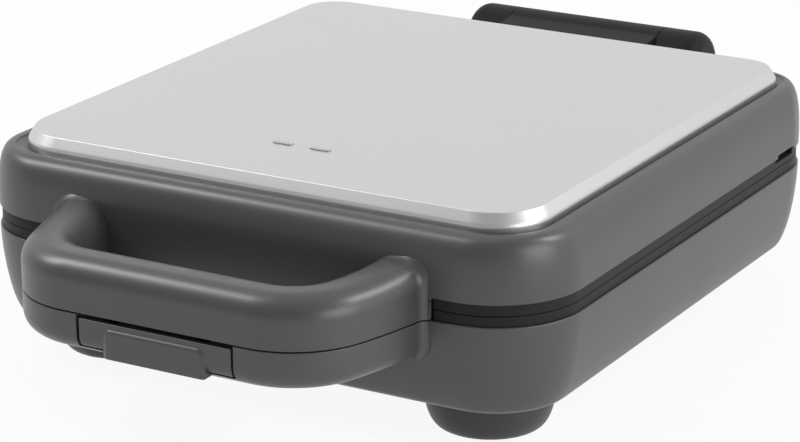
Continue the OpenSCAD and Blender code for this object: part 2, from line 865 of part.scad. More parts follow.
module hinge_arm() {
  in_place("#3b3c40")
    difference() {
      union() {
        at_hinge()
          rod([-barrel_mid + knuckle_gap / 2, 0, 0], 2 * barrel_r, 2 * barrel_mid - knuckle_gap, "x");
        translate([-barrel_mid + knuckle_gap / 2, 0, 0])
          rotate([90, 0, 90])
            linear_extrude(2 * barrel_mid - knuckle_gap)
              polygon([
                [half_d - 5, lid_bottom_z + 0.5], [half_d - 5, deck_z],
                [hinge_y, hinge_z + barrel_r - 1], [hinge_y, hinge_z - 8]
              ]);
      }
      sectioned_block(lid_section);
      at_hinge()
        rod([-barrel_mid - 1, 0, 0], pin_d + 0.1, 2 * barrel_mid + 2, "x");
      for (x = arm_screw_x)
        rod([x, half_d - 6, arm_screw_z], 3.2, 19, "y");
      rod([0, half_d - 6, hinge_z - 2], wire_hole_d, 19, "y");
    }
}

module hinge_arm_screws() {
  in_place(fastener)
    for (x = arm_screw_x)
      translate([x, half_d - 6, arm_screw_z])
        rotate([-90, 0, 0])
          screw(3.2, 17, 7, 2);
}

bracket_screw_z = [38, 50];
bracket_screw_x = 50;
bracket_out = 58;

// Outer knuckle on a gusset that is screwed to the rear of the lower housing.
module hinge_bracket() {
  in_place("#3b3c40")
    difference() {
      union() {
        at_hinge()
          rotate([0, 90, 0])
            rotate_extrude()
              polygon(knuckle_outline(barrel_mid + knuckle_gap / 2));
        translate([barrel_mid + knuckle_gap / 2, 0, 0])
          rotate([90, 0, 90])
            linear_extrude(bracket_out - barrel_mid)
              polygon([
                [half_d - 9, 30], [half_d - 9, base_top_z - 0.6], [half_d + 6, base_top_z],
                [hinge_y - 12, hinge_z - 6], [hinge_y, hinge_z], [hinge_y + 13, hinge_z - 8],
                [half_d + 22, 42]
              ]);
      }
      at_hinge()
        rod([0, 0, 0], pin_d + 0.02, pin_half + 0.2, "x");
      for (z = bracket_screw_z)
        rod([bracket_screw_x, half_d - 10, z], 3.2, 23, "y");
      sectioned_block(base_section);
    }
}

module hinge_bracket_left() { mirror([1, 0, 0]) hinge_bracket(); }
module hinge_bracket_right() { hinge_bracket(); }

module hinge_pin() {
  in_place(steel)
    at_hinge()
      rod([-pin_half, 0, 0], pin_d, 2 * pin_half, "x");
}

module hinge_screws() {
  in_place(fastener)
    both_sides()
      for (z = bracket_screw_z)
        translate([bracket_screw_x, half_d - rear_pad_t, z])
          rotate([-90, 0, 0])
            screw(3.2, 17, 7, 2);
}

// ---- Base ----

base_section = reversed([for (p = bulge([corner_r - base_curve[0], 0], base_curve, base_power, 12))
  [p[0], base_top_z - p[1]]]);
base_floor = foot_h + wall;
// The cavity follows the same curve one wall further in, cut off at the floor.
base_cavity = concat(
  [[corner_r - base_curve[0] - wall, base_floor]],
  [for (p = base_section) if (p[1] > base_floor + 1) [p[0] - wall, p[1]]],
  [[corner_r - wall, base_top_z + 1]]
);
foot_y = 96.5;
foot_x = [92.6, 84];                      // the rear feet stand closer together than the front ones
foot_boss = [10, 7];
block_at = [0, 96];
gland_z = 39;
gland_boss = [24, 8];
gland_face = half_d - 0.3;
rear_pad_t = 6.6;

module lower_housing() {
  in_place(shadow)
    difference() {
      union() {
        difference() {
          sectioned_block(base_section);
          sectioned_block(base_cavity);
        }
        // Screw bosses and pads that stay within the housing's outer face.
        intersection() {
          sectioned_block(base_section);
          union() {
            four_corners(boss_at[0], boss_at[1])
              cylinder_between(boss_d, foot_h + 1, base_top_z - 4);
            both_sides()
              box([bracket_screw_x - 8, half_d - rear_pad_t, bracket_screw_z[0] - 5],
                  [bracket_screw_x + 8, half_d, base_top_z - 4.2]);
          }
        }
        four_corners(post_at[0], post_at[1])
          cylinder_between(post_d, base_floor - 1, seam_z - reflector_z - reflector_t);
        both_sides()
          box([handle_leg_x - 9, -half_d + 2.2, lower_handle_screw_z - 7],
              [handle_leg_x + 9, -half_d + pad_t, base_top_z - 6]);
        rod([0, half_d - gland_boss[1], gland_z], gland_boss[0], gland_face - half_d + gland_boss[1], "y");
        at_feet()
          cylinder_between(foot_boss[0], base_floor - 1, base_floor + foot_boss[1]);
      }
      box([-apron_half_w - 1.5, -half_d - 1, handle_split_z - split_gap],
          [apron_half_w + 1.5, -half_d + wall + 1, base_top_z + 1]);
      four_corners(boss_at[0], boss_at[1])
        cylinder_between(pilot_d, base_top_z - 20, base_top_z);
      four_corners(post_at[0], post_at[1])
        cylinder_between(pilot_d, seam_z - reflector_z - 9, seam_z - reflector_z);
      at_feet()
        cylinder_between(foot_screw_d, foot_h - 1, base_floor + foot_boss[1] + 1);
      handle_screw_points(lower_handle_screw_z)
        rod([0, -10, 0], clearance_d, 20, "y");
      both_sides()
        for (z = bracket_screw_z)
          rod([bracket_screw_x, half_d - 10, z], clearance_d, 20, "y");
      rod([0, half_d - 12, gland_z], gland_neck_d + 0.1, 20, "y");
    }
}

module lower_bezel() {
  band_r = corner_r - band_inset;
  in_place(bezel_black)
    difference() {
      union() {
        frame_block([corner_x + band_r, corner_y + band_r], band_r, bezel_opening, plate_r + 0.5,
                    base_top_z, seam_z - seam_gap);
        frame_block([corner_x + corner_r - wall - 0.3, corner_y + corner_r - wall - 0.3],
                    corner_r - wall - 0.3, [half_w - wall - 2.1, half_d - wall - 2.1],
                    corner_r - wall - 2.1, base_top_z - 4, base_top_z + 1);
        four_corners(boss_at[0], boss_at[1])
          cylinder_between(boss_d, base_top_z - 4, base_top_z + 1);
      }
      box([-apron_half_w - 1.2, -half_d - 5, base_top_z - 0.6],
          [apron_half_w + 1.2, -half_d + wall + 1, seam_z + 5]);
      box([-apron_half_w - 2, -half_d - 5, base_top_z - 6],
          [apron_half_w + 2, -half_d + wall + 0.3, base_top_z]);
      four_corners(boss_at[0], boss_at[1]) {
        cylinder_between(3.4, base_top_z - 5, seam_z + 1);
        cylinder_between(6.6, seam_z - seam_gap - bezel_seat, seam_z + 1);
      }
    }
}

module lower_bezel_screws() {
  in_place(fastener)
    four_corners(boss_at[0], boss_at[1])
      translate([0, 0, seam_z - seam_gap - bezel_seat])
        mirror([0, 0, 1])
          screw(3, 16, 5.6, 1.5);
}

module lower_plate() {
  in_place(coating)
    below_seam()
      cooking_plate();
}

module lower_element() {
  in_place(cast_metal)
    below_seam()
      heating_element();
}

module lower_reflector() {
  in_place(cast_metal)
    below_seam()
      reflector();
}

module lower_shield_screws() {
  in_place(fastener)
    below_seam()
      shield_screws(post_at[0], post_at[1]);
}

module lower_plate_nuts() {
  in_place(steel)
    below_seam()
      plate_nuts();
}

pad_r = 16;
foot_pad_t = 2;
foot_r = 27.7;
foot_toe_r = 20.7;
foot_lip_z = 0.6;                         // gap under the foot's rim, so that only its pad touches the table
foot_screw_d = 4;
foot_screw_z = 8;

// Moulded foot that draws in to a rounded toe, with a screw well and a recess for its pad.
module foot(sx, sy) {
  side = [for (i = [0:9]) let (a = 90 * i / 9)
    [foot_toe_r + (foot_r - foot_toe_r) * sin(a), foot_h - (foot_h - foot_lip_z) * cos(a)]];
  in_place("#3f4044")
    translate([sx * foot_x[sy < 0 ? 0 : 1], sy * foot_y, 0])
      difference() {
        rotate_extrude()
          polygon(concat([[0, foot_lip_z]], side, [[0, foot_h]]));
        cylinder_between(2 * pad_r, -1, foot_pad_t);
        cylinder_between(foot_screw_d + 0.4, -1, foot_h + 1);
        cylinder_between(9, -1, foot_screw_z);
      }
}

module at_feet() {
  for (sx = [-1, 1])
    for (sy = [-1, 1])
      translate([sx * foot_x[sy < 0 ? 0 : 1], sy * foot_y, 0])
        children();
}

module foot_front_left() { foot(-1, -1); }
module foot_front_right() { foot(1, -1); }
module foot_rear_left() { foot(-1, 1); }
module foot_rear_right() { foot(1, 1); }

module foot_pads() {
  in_place(rubber)
    at_feet()
      cylinder_between(2 * pad_r, 0, foot_pad_t);
}

module foot_screws() {
  in_place(fastener)
    at_feet()
      translate([0, 0, foot_screw_z])
        screw(foot_screw_d, 20, 8, 2.4);
}

// Bimetal thermostat clamped against the back of the lower plate.
module thermostat() {
  body_top = seam_z - plate_gap - well_h;
  in_place("#c9c2b0") {
    rod([0, 0, body_top - 3], 15, 3);
    rod([0, 0, body_top - 6.2], 12, 4);
    both_sides()
      box([5, -2, body_top - 5.2], [13, 2, body_top - 4.4]);
  }
}

module thermal_fuse() {
  fuse_z = seam_z - plate_gap - well_h - 2;
  in_place("#d6d2c4")
    rod([0, 30, fuse_z], 4, 12, "y");
}

block_hole_x = 14;
block_hole_z = base_floor + 6;

// Ceramic terminal block on the floor, in front of the cord's inlet.
module terminal_block() {
  in_place("#dedbd0")
    translate([block_at[0], block_at[1], 0])
      difference() {
        box([-21, -8, base_floor], [21, 8, base_floor + 12]);
        for (x = [-block_hole_x, 0, block_hole_x]) {
          rod([x, -9, block_hole_z], 4, 18, "y");
          rod([x, 0, block_hole_z + 1], pilot_d, 8);
        }
      }
}

gland_neck_d = 12.9;
gland_flange_t = 2.5;
gland_cap_d = 19;
gland_cap_t = 3;
cord_bore_d = 7.4;

// Bush in the rear wall where the supply cord enters.
module cord_gland() {
  flange_y = half_d - gland_boss[1] - gland_flange_t;
  in_place(rubber)
    difference() {
      union() {
        rod([0, flange_y, gland_z], gland_neck_d, gland_face + gland_cap_t - flange_y, "y");
        rod([0, gland_face, gland_z], gland_cap_d, gland_cap_t, "y");
        rod([0, flange_y, gland_z], gland_cap_d - 2, gland_flange_t, "y");
      }
      rod([0, flange_y - 1, gland_z], cord_bore_d, gland_boss[1] + 12, "y");
    }
}

// Wires from the terminal block up to the lower element's cold ends.
module lower_wiring() {
  run_z = seam_z - element_z;
  turn_y = element_end_y + 13;
  in_place("#b9b2a0")
    both_sides() {
      rod([element_cold_x, wire_start_y, run_z], wire_d, turn_y - wire_start_y, "y");
      wire_bend([element_cold_x, turn_y, run_z]);
      rod([element_cold_x, turn_y, block_hole_z], wire_d, run_z - block_hole_z);
      wire_bend([element_cold_x, turn_y, block_hole_z]);
      rod([block_hole_x, turn_y, block_hole_z], wire_d, element_cold_x - block_hole_x, "x");
      wire_bend([block_hole_x, turn_y, block_hole_z]);
      rod([block_hole_x, block_at[1] - 4, block_hole_z], wire_d, turn_y + 4 - block_at[1], "y");
    }
}

top_cover();
upper_housing();
upper_bezel();
upper_plate();
upper_element();
upper_reflector();
upper_handle();
power_lens();
ready_lens();
lamp_holder();
power_lamp();
ready_lamp();
hinge_arm();
hinge_arm_screws();
upper_plate_nuts();
upper_bezel_screws();
upper_handle_screws();
upper_shield_screws();
lamp_holder_screws();
upper_wiring();
latch_pin();
latch_spring();
latch();
lower_housing();
lower_bezel();
lower_plate();
lower_element();
lower_reflector();
lower_handle();
latch_catch();
hinge_bracket_left();
hinge_bracket_right();
hinge_pin();
hinge_screws();
lower_plate_nuts();
lower_bezel_screws();
lower_handle_screws();
lower_shield_screws();
foot_front_left();
foot_front_right();
foot_rear_left();
foot_rear_right();
foot_pads();
foot_screws();
thermostat();
thermal_fuse();
terminal_block();
cord_gland();
lower_wiring();
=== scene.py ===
"""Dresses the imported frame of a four-slice sandwich toaster with its visible shells and finishes."""

import json
import math

import bmesh
import bpy
from bpy.props import FloatProperty, FloatVectorProperty, PointerProperty
from mathutils import Matrix, Vector

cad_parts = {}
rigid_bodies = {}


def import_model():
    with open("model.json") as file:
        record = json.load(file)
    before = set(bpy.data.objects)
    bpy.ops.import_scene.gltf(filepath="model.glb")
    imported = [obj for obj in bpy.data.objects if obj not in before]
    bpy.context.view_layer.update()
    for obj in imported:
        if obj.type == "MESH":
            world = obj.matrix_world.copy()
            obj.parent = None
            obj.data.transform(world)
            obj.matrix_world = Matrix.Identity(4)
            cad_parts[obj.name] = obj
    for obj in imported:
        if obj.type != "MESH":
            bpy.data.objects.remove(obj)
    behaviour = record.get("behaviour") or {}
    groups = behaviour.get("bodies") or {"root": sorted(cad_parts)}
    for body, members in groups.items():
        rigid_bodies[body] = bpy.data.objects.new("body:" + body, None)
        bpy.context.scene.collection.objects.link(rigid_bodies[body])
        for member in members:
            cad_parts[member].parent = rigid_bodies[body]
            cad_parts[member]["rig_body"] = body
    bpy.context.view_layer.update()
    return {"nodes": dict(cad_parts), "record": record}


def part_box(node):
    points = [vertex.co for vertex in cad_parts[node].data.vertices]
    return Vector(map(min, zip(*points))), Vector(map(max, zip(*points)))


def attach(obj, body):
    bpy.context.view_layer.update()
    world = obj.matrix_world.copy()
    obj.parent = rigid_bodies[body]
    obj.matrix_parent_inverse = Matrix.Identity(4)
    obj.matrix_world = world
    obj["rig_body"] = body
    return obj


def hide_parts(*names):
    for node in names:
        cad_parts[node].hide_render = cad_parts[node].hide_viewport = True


bl_info = {
    "name": "Sandwich Toaster",
    "version": (1, 0, 0),
    "blender": (4, 5, 0),
    "location": "View3D > Sidebar > Toaster",
    "description": "Builds the shells, handle, latch and finishes of a hinged sandwich toaster",
    "category": "Add Mesh",
}

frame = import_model()

MM = 0.001


def low(node):
    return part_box(node)[0]


def high(node):
    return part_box(node)[1]


def middle(node):
    return (low(node) + high(node)) / 2


def half_size(node):
    return (high(node) - low(node)) / 2


# ---- sizes and colours


def length(name, description, default):
    return FloatProperty(
        name=name, description=description, default=default, unit="LENGTH", subtype="DISTANCE", precision=4
    )


def lengths(name, description, default):
    return FloatVectorProperty(
        name=name, description=description, default=default, size=len(default), unit="LENGTH", precision=4
    )


def colour(name, description, default):
    return FloatVectorProperty(
        name=name, description=description, default=default, size=3, subtype="COLOR", min=0.0, max=1.0
    )


COVER_PLANE = 101.8 * MM


class ToasterHousingSizes(bpy.types.PropertyGroup):
    """Sizes of the two moulded shells and the cover"""

    half: lengths(
        "Half size", "Half width and half depth of the shells at the seam", half_size("lower_housing")[:2]
    )
    corner: length("Corner", "Plan radius of the shells' corners at the seam", 38.7 * MM)
    wall: length("Wall", "Thickness of the moulded walls", 2.6 * MM)
    lid_edge: length("Lid edge", "Height of the lid's lower edge", 68.8 * MM)
    base_edge: length("Base edge", "Height of the base's upper edge", high("lower_housing").z)
    floor: length("Floor", "Height of the base's flat underside", high("foot_front_left").z)
    rim: length("Rim", "Height of the lid's rim around the cover", 95.3 * MM)
    lid_curve: length("Lid curve", "How far the lid's wall leans in at the rim", 11.7 * MM)
    base_curve: length("Base curve", "How far the base's wall draws in at the floor", 9 * MM)
    edge_fillet: length("Edge fillet", "Radius along the shells' parting edges", 0.5 * MM)
    cover_half: lengths(
        "Cover", "Half width and half depth of the cover's flat edge", (122 * MM, 127.3 * MM)
    )
    cover_corner: lengths(
        "Cover corners", "Radii of the cover's front and rear corners", (22.5 * MM, 15.5 * MM)
    )
    cover_plane: length("Cover plane", "Height of the cover's flat edge", COVER_PLANE)
    crown: length("Crown", "Rise of the cover's middle over its edge", high("top_cover").z - COVER_PLANE)
    apron_half: length("Apron", "Half width of the lid's front apron behind the handle", 91 * MM)


class ToasterHandleSizes(bpy.types.PropertyGroup):
    """Sizes of the handle and its latch"""

    reach: length("Reach", "Distance of the grip's front from the housing's middle", 204.5 * MM)
    depth: length("Depth", "Depth of the grip from front to back", 24 * MM)
    bend: length("Bend", "Plan radius of the outer bends", 38 * MM)
    flat: length("Flat", "Half length of the grip's straight part", 43.5 * MM)
    top: length("Top", "Height of the grip's top", 80.8 * MM)
    bottom: length("Bottom", "Height of the grip's underside", low("lower_handle").z)
    split: length("Split", "Height of the upper half's lower edge", 59.4 * MM)
    split_gap: length("Split gap", "Gap between the two halves", 0.5 * MM)
    top_round: length("Top round", "Radius along the grip's upper edges", 10 * MM)
    edge_round: length("Edge round", "Radius along the grip's lower edges", 8 * MM)
    latch_half: length("Latch", "Half width of the latch plate", 36 * MM)
    latch_top: length("Latch top", "Height of the latch plate's upper edge", 57.3 * MM)
    latch_low: length("Latch bottom", "Height of the latch plate's lower edge", 45.4 * MM)
    latch_shift: length("Latch shift", "How far the latch stands right of the middle", 0.8 * MM)


class ToasterColours(bpy.types.PropertyGroup):
    """Base colours of the finishes"""

    housing: colour("Housing", "Metallic grey of shells, handle and latch", (0.085, 0.086, 0.09))
    hinge: colour("Hinge", "Dark grey of the hinge mouldings", (0.018, 0.018, 0.019))
    bezel: colour("Bezel", "Black of the bands at the seam", (0.02, 0.02, 0.021))
    cover: colour("Cover", "Satin steel of the top cover", (0.6, 0.6, 0.598))
    coating: colour("Coating", "Non-stick coating of the cooking plates", (0.035, 0.034, 0.033))
    foot: colour("Foot", "Dark grey of the feet", (0.055, 0.055, 0.058))
    rubber: colour("Rubber", "Black rubber of pads and bush", (0.02, 0.02, 0.02))
    lens: colour("Lens", "Milky plastic of the indicator windows", (0.5, 0.5, 0.48))
    floor: colour("Floor", "Pale floor and background", (0.9, 0.9, 0.9))


def housing_sizes():
    return bpy.context.scene.toaster_housing


def handle_sizes():
    return bpy.context.scene.toaster_handle


def colours():
    return bpy.context.scene.toaster_colours


# ---- finishes


WHITE = (1.0, 1.0, 1.0, 1.0)
NOISE_MIDDLE = (0.3, 0.7)


def map_range(tree, source, *limits):
    """Node that maps a value from one range onto another; limits are the ends of both."""
    made = tree.nodes.new("ShaderNodeMapRange")
    for key, value in zip(("From Min", "From Max", "To Min", "To Max"), limits):
        made.inputs[key].default_value = value
    tree.links.new(source, made.inputs["Value"])
    return made


def combined(tree, operation, first, second):
    """Combines a value with another or with a plain number."""
    made = tree.nodes.new("ShaderNodeMath")
    made.operation = operation
    tree.links.new(first, made.inputs[0])
    if isinstance(second, float):
        made.inputs[1].default_value = second
    else:
        tree.links.new(second, made.inputs[1])
    return made.outputs[0]


class NodeTree:
    """Short ways to add and join shader nodes in one material."""

    def __init__(self, name):
        self.material = bpy.data.materials.new(name + "_finish")
        self.material.use_nodes = True
        self.nodes = self.material.node_tree.nodes
        self.links = self.material.node_tree.links
        self.shader = self.nodes["Principled BSDF"]
        self.coords = self.nodes.new("ShaderNodeTexCoord").outputs["Object"]

    def set(self, **values):
        for key, value in values.items():
            socket = self.shader.inputs[key.replace("_", " ")]
            socket.default_value = (*value, 1.0) if key == "Base_Color" and len(value) == 3 else value
        return self

    def node(self, kind, **values):
        made = self.nodes.new(kind)
        for key, value in values.items():
            if hasattr(made, key):
                setattr(made, key, value)
            else:
                made.inputs[key.replace("_", " ")].default_value = value
        return made

    def join(self, source, target):
        self.links.new(source, target)

    def stretched(self, scale):
        """Object coordinates scaled per axis, for grain that runs one way."""
        mapping = self.node("ShaderNodeMapping")
        mapping.inputs["Scale"].default_value = scale
        self.join(self.coords, mapping.inputs["Vector"])
        return mapping.outputs["Vector"]

    def noise(self, scale, detail=3.0, roughness=0.55, vector=None):
        made = self.node("ShaderNodeTexNoise", Scale=scale, Detail=detail, Roughness=roughness)
        self.join(vector or self.coords, made.inputs["Vector"])
        return made.outputs["Fac"]

    def ranged(self, source, low_value, high_value):
        """Maps the useful middle of a noise onto a range."""
        return map_range(self, source, *NOISE_MIDDLE, low_value, high_value).outputs["Result"]

    def tinted(self, source, base, spread):
        """Varies a colour's brightness by a noise; spread is the share above and below."""
        ramp = self.node("ShaderNodeMix", data_type="RGBA")
        ramp.inputs["A"].default_value = (*[c * (1 - spread) for c in base], 1.0)
        ramp.inputs["B"].default_value = (*[min(1.0, c * (1 + spread)) for c in base], 1.0)
        self.join(self.ranged(source, 0.0, 1.0), ramp.inputs["Factor"])
        self.join(ramp.outputs["Result"], self.shader.inputs["Base Color"])

    def rough(self, source, low_value, high_value):
        self.join(self.ranged(source, low_value, high_value), self.shader.inputs["Roughness"])

    def bump(self, source, distance, strength=1.0):
        made = self.node("ShaderNodeBump", Strength=strength, Distance=distance)
        self.join(source, made.inputs["Height"])
        normal = self.shader.inputs["Normal"]
        if normal.is_linked:
            self.join(normal.links[0].from_socket, made.inputs["Normal"])
        self.join(made.outputs["Normal"], normal)


def varied(slot, base, tone, gloss, relief=None, **shader):
    """Finish varied by noises, each given by its scale, its detail and at times its roughness.

    After these, tone holds the share by which brightness varies, gloss the least and the most
    roughness of the surface, and relief the depth of the bumps.
    """
    tree = NodeTree(slot).set(**shader)
    tree.tinted(tree.noise(*tone[:-1]), base, tone[-1])
    tree.rough(tree.noise(*gloss[:-2]), *gloss[-2:])
    if relief:
        tree.bump(tree.noise(*relief[:-1]), relief[-1])
    return tree.material


def moulded(slot, base, roughness, metallic=0.0, grain=0.012 * MM, specular=0.5):
    """Injection-moulded plastic: fine eroded grain with slow drifts of gloss and tone."""
    drift = 0.025
    return varied(slot, base, (2600.0, 2.0, 0.6, 0.07), (9.0, 2.0, roughness - drift, roughness + drift),
                  (1500.0, 3.0, 0.6, grain), Metallic=metallic, Specular_IOR_Level=specular)


def drawn_metal(slot, base, roughness, spread=0.06, scale=(900.0, 900.0, 900.0)):
    """Bare metal whose grain is stretched along the axes with the smaller scales."""
    tree = NodeTree(slot).set(Metallic=1.0)
    tree.tinted(tree.noise(1.0, 3.0, 0.6, tree.stretched(scale)), base, spread)
    tree.rough(tree.noise(40.0, 2.0), roughness - 0.05, roughness + 0.06)
    tree.bump(tree.noise(1.0, 3.0, 0.6, tree.stretched(scale)), 0.006 * MM)
    return tree.material


def cover_finish(slot):
    """Fine satin sheet: short brush marks along X over a faint orange peel from pressing."""
    tree = NodeTree(slot).set(Metallic=1.0)
    marks = tree.noise(1.0, 4.0, 0.7, tree.stretched((60.0, 5200.0, 5200.0)))
    tree.tinted(marks, colours().cover, 0.025)
    tree.rough(tree.noise(5.0, 2.0), 0.36, 0.40)
    tree.bump(marks, 0.0016 * MM)
    tree.bump(tree.noise(160.0, 1.0), 0.004 * MM)
    return tree.material


def coating_finish(slot):
    """Sprayed non-stick coating: pale flecks in near-black, with orange peel."""
    base = colours().coating
    tree = NodeTree(slot).set(Specular_IOR_Level=0.55, Coat_Weight=0.15)
    cells = tree.node("ShaderNodeTexVoronoi", Scale=900.0)
    tree.join(tree.coords, cells.inputs["Vector"])
    flecks = tree.node("ShaderNodeValToRGB")
    for stop, position, brighter in zip(flecks.color_ramp.elements, (0.10, 0.16), (3.2, 1.0)):
        stop.position = position
        stop.color = (*[c * brighter for c in base], 1.0)
    tree.join(cells.outputs["Distance"], flecks.inputs["Fac"])
    tree.join(flecks.outputs["Color"], tree.shader.inputs["Base Color"])
    tree.rough(tree.noise(12.0, 2.0), 0.30, 0.40)
    tree.bump(tree.noise(420.0, 3.0), 0.03 * MM)
    return tree.material


def sleeve_finish(slot):
    """Braided glass-fibre sleeve: slanting waves over an off-white yarn."""
    tree = NodeTree(slot).set(Sheen_Weight=0.3)
    braid = tree.node("ShaderNodeTexWave", Scale=900.0, Distortion=1.5, bands_direction="DIAGONAL")
    tree.join(tree.coords, braid.inputs["Vector"])
    tree.tinted(braid.outputs["Fac"], (0.5, 0.46, 0.38), 0.18)
    tree.rough(tree.noise(500.0, 2.0), 0.7, 0.85)
    tree.bump(braid.outputs["Fac"], 0.06 * MM)
    return tree.material


FINE_GRAIN = 0.0012 * MM

FINISHES = {
    "housing_plastic": lambda slot: moulded(slot, colours().housing, 0.37, metallic=0.35, grain=FINE_GRAIN),
    "hinge_plastic": lambda slot: moulded(slot, colours().hinge, 0.5, grain=FINE_GRAIN, specular=0.1),
    "bezel_plastic": lambda slot: moulded(slot, colours().bezel, 0.5, grain=FINE_GRAIN, specular=0.14),
    "foot_plastic": lambda slot: moulded(slot, colours().foot, 0.45, grain=0.0015 * MM, specular=0.35),
    "holder_plastic": lambda slot: moulded(slot, (0.62, 0.6, 0.54), 0.5),
    "cover_steel": cover_finish,
    "plate_coating": coating_finish,
    "wire_sleeve": sleeve_finish,
    "shield_sheet": lambda slot: drawn_metal(slot, (0.55, 0.56, 0.57), 0.3, 0.04, (40.0, 1600.0, 1600.0)),
    "fastener_steel": lambda slot: drawn_metal(slot, (0.48, 0.49, 0.5), 0.28, 0.08, (700.0, 700.0, 700.0)),
    "pin_steel": lambda slot: drawn_metal(slot, (0.5, 0.5, 0.51), 0.24, 0.05, (1800.0, 60.0, 60.0)),
    "spring_steel": lambda slot: drawn_metal(slot, (0.36, 0.36, 0.37), 0.34),
    "element_sheath": lambda slot: varied(
        slot, (0.17, 0.145, 0.125), (70.0, 4.0, 0.65, 0.35), (220.0, 3.0, 0.45, 0.62),
        (900.0, 3.0, 0.02 * MM), Metallic=0.85),
    "lens_plastic": lambda slot: varied(
        slot, colours().lens, (300.0, 2.0, 0.03), (60.0, 2.0, 0.22, 0.3), (700.0, 2.0, 0.004 * MM),
        Subsurface_Weight=0.15, Subsurface_Scale=1.0 * MM, Specular_IOR_Level=0.4),
    "lamp_glass": lambda slot: varied(
        slot, (0.85, 0.42, 0.2), (400.0, 2.0, 0.1), (90.0, 2.0, 0.05, 0.12),
        Transmission_Weight=0.6, IOR=1.5, Emission_Strength=0.0),
    "foot_rubber": lambda slot: varied(
        slot, colours().rubber, (500.0, 3.0, 0.15), (150.0, 2.0, 0.6, 0.75), (1400.0, 3.0, 0.02 * MM),
        Specular_IOR_Level=0.35),
    "ceramic": lambda slot: varied(
        slot, (0.74, 0.71, 0.62), (120.0, 3.0, 0.05), (60.0, 2.0, 0.3, 0.4), (600.0, 2.0, 0.01 * MM),
        Coat_Weight=0.4),
}

NODE_SLOTS = {part["node"]: part["material_slot"] for part in frame["record"]["subparts"]}


def finish(slot):
    """The slot's finish, made when it is first asked for."""
    return bpy.data.materials.get(slot + "_finish") or FINISHES[slot](slot)


# ---- mesh helpers


def arc(centre, radius, start, end, steps):
    """Points of a circular arc in a plane, with angles in degrees."""
    angles = [math.radians(start + (end - start) * i / steps) for i in range(steps + 1)]
    return [(centre[0] + radius * math.cos(a), centre[1] + radius * math.sin(a)) for a in angles]


def quarter_turn(steps):
    return [math.pi / 2 * i / steps for i in range(steps + 1)]


def skin(rows):
    """Closed mesh through rows of equally many points, each row a closed ring."""
    mesh = bmesh.new()
    made = [[mesh.verts.new(point) for point in row] for row in rows]
    count = len(rows[0])
    for upper, lower in zip(made, made[1:]):
        for i in range(count):
            j = (i + 1) % count
            mesh.faces.new((upper[i], upper[j], lower[j], lower[i]))
    mesh.faces.new(made[0])
    mesh.faces.new(reversed(made[-1]))
    bmesh.ops.recalc_face_normals(mesh, faces=mesh.faces)
    return mesh


def revolved(profile, steps=64):
    """Solid turned about Z from a profile of (radius, height) points that starts and ends on the axis."""
    rows = [
        [(r * math.cos(a), r * math.sin(a), z) for a in (math.tau * i / steps for i in range(steps))]
        for r, z in profile[1:-1]
    ]
    return skin(rows)


def box_mesh(lowest, highest):
    mesh = bmesh.new()
    bmesh.ops.create_cube(mesh, size=1.0)
    lowest, highest = Vector(lowest), Vector(highest)
    scale = Matrix.Diagonal((*(highest - lowest), 1.0))
    return moved(mesh, Matrix.Translation((lowest + highest) / 2) @ scale)


def moved(mesh, matrix):
    bmesh.ops.transform(mesh, matrix=matrix, verts=mesh.verts)
    if matrix.determinant() < 0:
        bmesh.ops.reverse_faces(mesh, faces=mesh.faces)
    return mesh


def joined(*meshes):
    """One mesh that holds several, which are used up."""
    whole = bmesh.new()
    for part in meshes:
        data = bpy.data.meshes.new("part")
        part.to_mesh(data)
        part.free()
        whole.from_mesh(data)
        bpy.data.meshes.remove(data)
    return whole


def copied(node):
    """A CAD node's mesh as a new one, welded and with its flat faces made whole."""
    mesh = bmesh.new()
    mesh.from_mesh(frame["nodes"][node].data)
    bmesh.ops.remove_doubles(mesh, verts=mesh.verts, dist=0.002 * MM)
    bmesh.ops.dissolve_limit(mesh, angle_limit=math.radians(0.4), verts=mesh.verts, edges=mesh.edges)
    return mesh


def linked(name, data):
    made = bpy.data.objects.new(name, data)
    bpy.context.scene.collection.objects.link(made)
    return made


def bare_object(name, mesh):
    data = bpy.data.meshes.new(name)
    mesh.to_mesh(data)
    mesh.free()
    return linked(name, data)


def modified(piece, kind, **settings):
    """Applies a modifier to the piece's mesh."""
    step = piece.modifiers.new(kind, kind)
    for key, value in settings.items():
        setattr(step, key, value)
    bpy.context.view_layer.update()
    evaluated = piece.evaluated_get(bpy.context.evaluated_depsgraph_get())
    old = piece.data
    piece.data = bpy.data.meshes.new_from_object(evaluated)
    piece.modifiers.clear()
    bpy.data.meshes.remove(old)


def cut(piece, mesh):
    """Takes a solid out of a piece."""
    cutter = bare_object("cutter", mesh)
    modified(piece, "BOOLEAN", operation="DIFFERENCE", solver="EXACT", object=cutter)
    bpy.data.objects.remove(cutter)


def rounded(piece, width, angle=40.0, segments=2):
    """Rounds the edges that are sharper than the angle."""
    modified(piece, "BEVEL", width=width, segments=segments, limit_method="ANGLE",
             angle_limit=math.radians(angle), miter_outer="MITER_ARC", use_clamp_overlap=True)


def dressed(piece, *nodes, sharp=38.0):
    """Gives a finished piece its shading, finish and body, and hides the nodes that it stands for."""
    piece.data.polygons.foreach_set("use_smooth", [True] * len(piece.data.polygons))
    piece.data.set_sharp_from_angle(angle=math.radians(sharp))
    modified(piece, "WEIGHTED_NORMAL", keep_sharp=True)
    slot = NODE_SLOTS[nodes[0]]
    piece.data.materials.clear()
    piece.data.materials.append(finish(slot))
    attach(piece, frame["nodes"][nodes[0]]["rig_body"])
    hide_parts(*nodes)


def softened(node, width, angle, segments=2):
    """Stands for a CAD node with the same solid, its sharp edges rounded."""
    piece = bare_object(node + "_piece", copied(node))
    rounded(piece, width, angle, segments)
    dressed(piece, node)


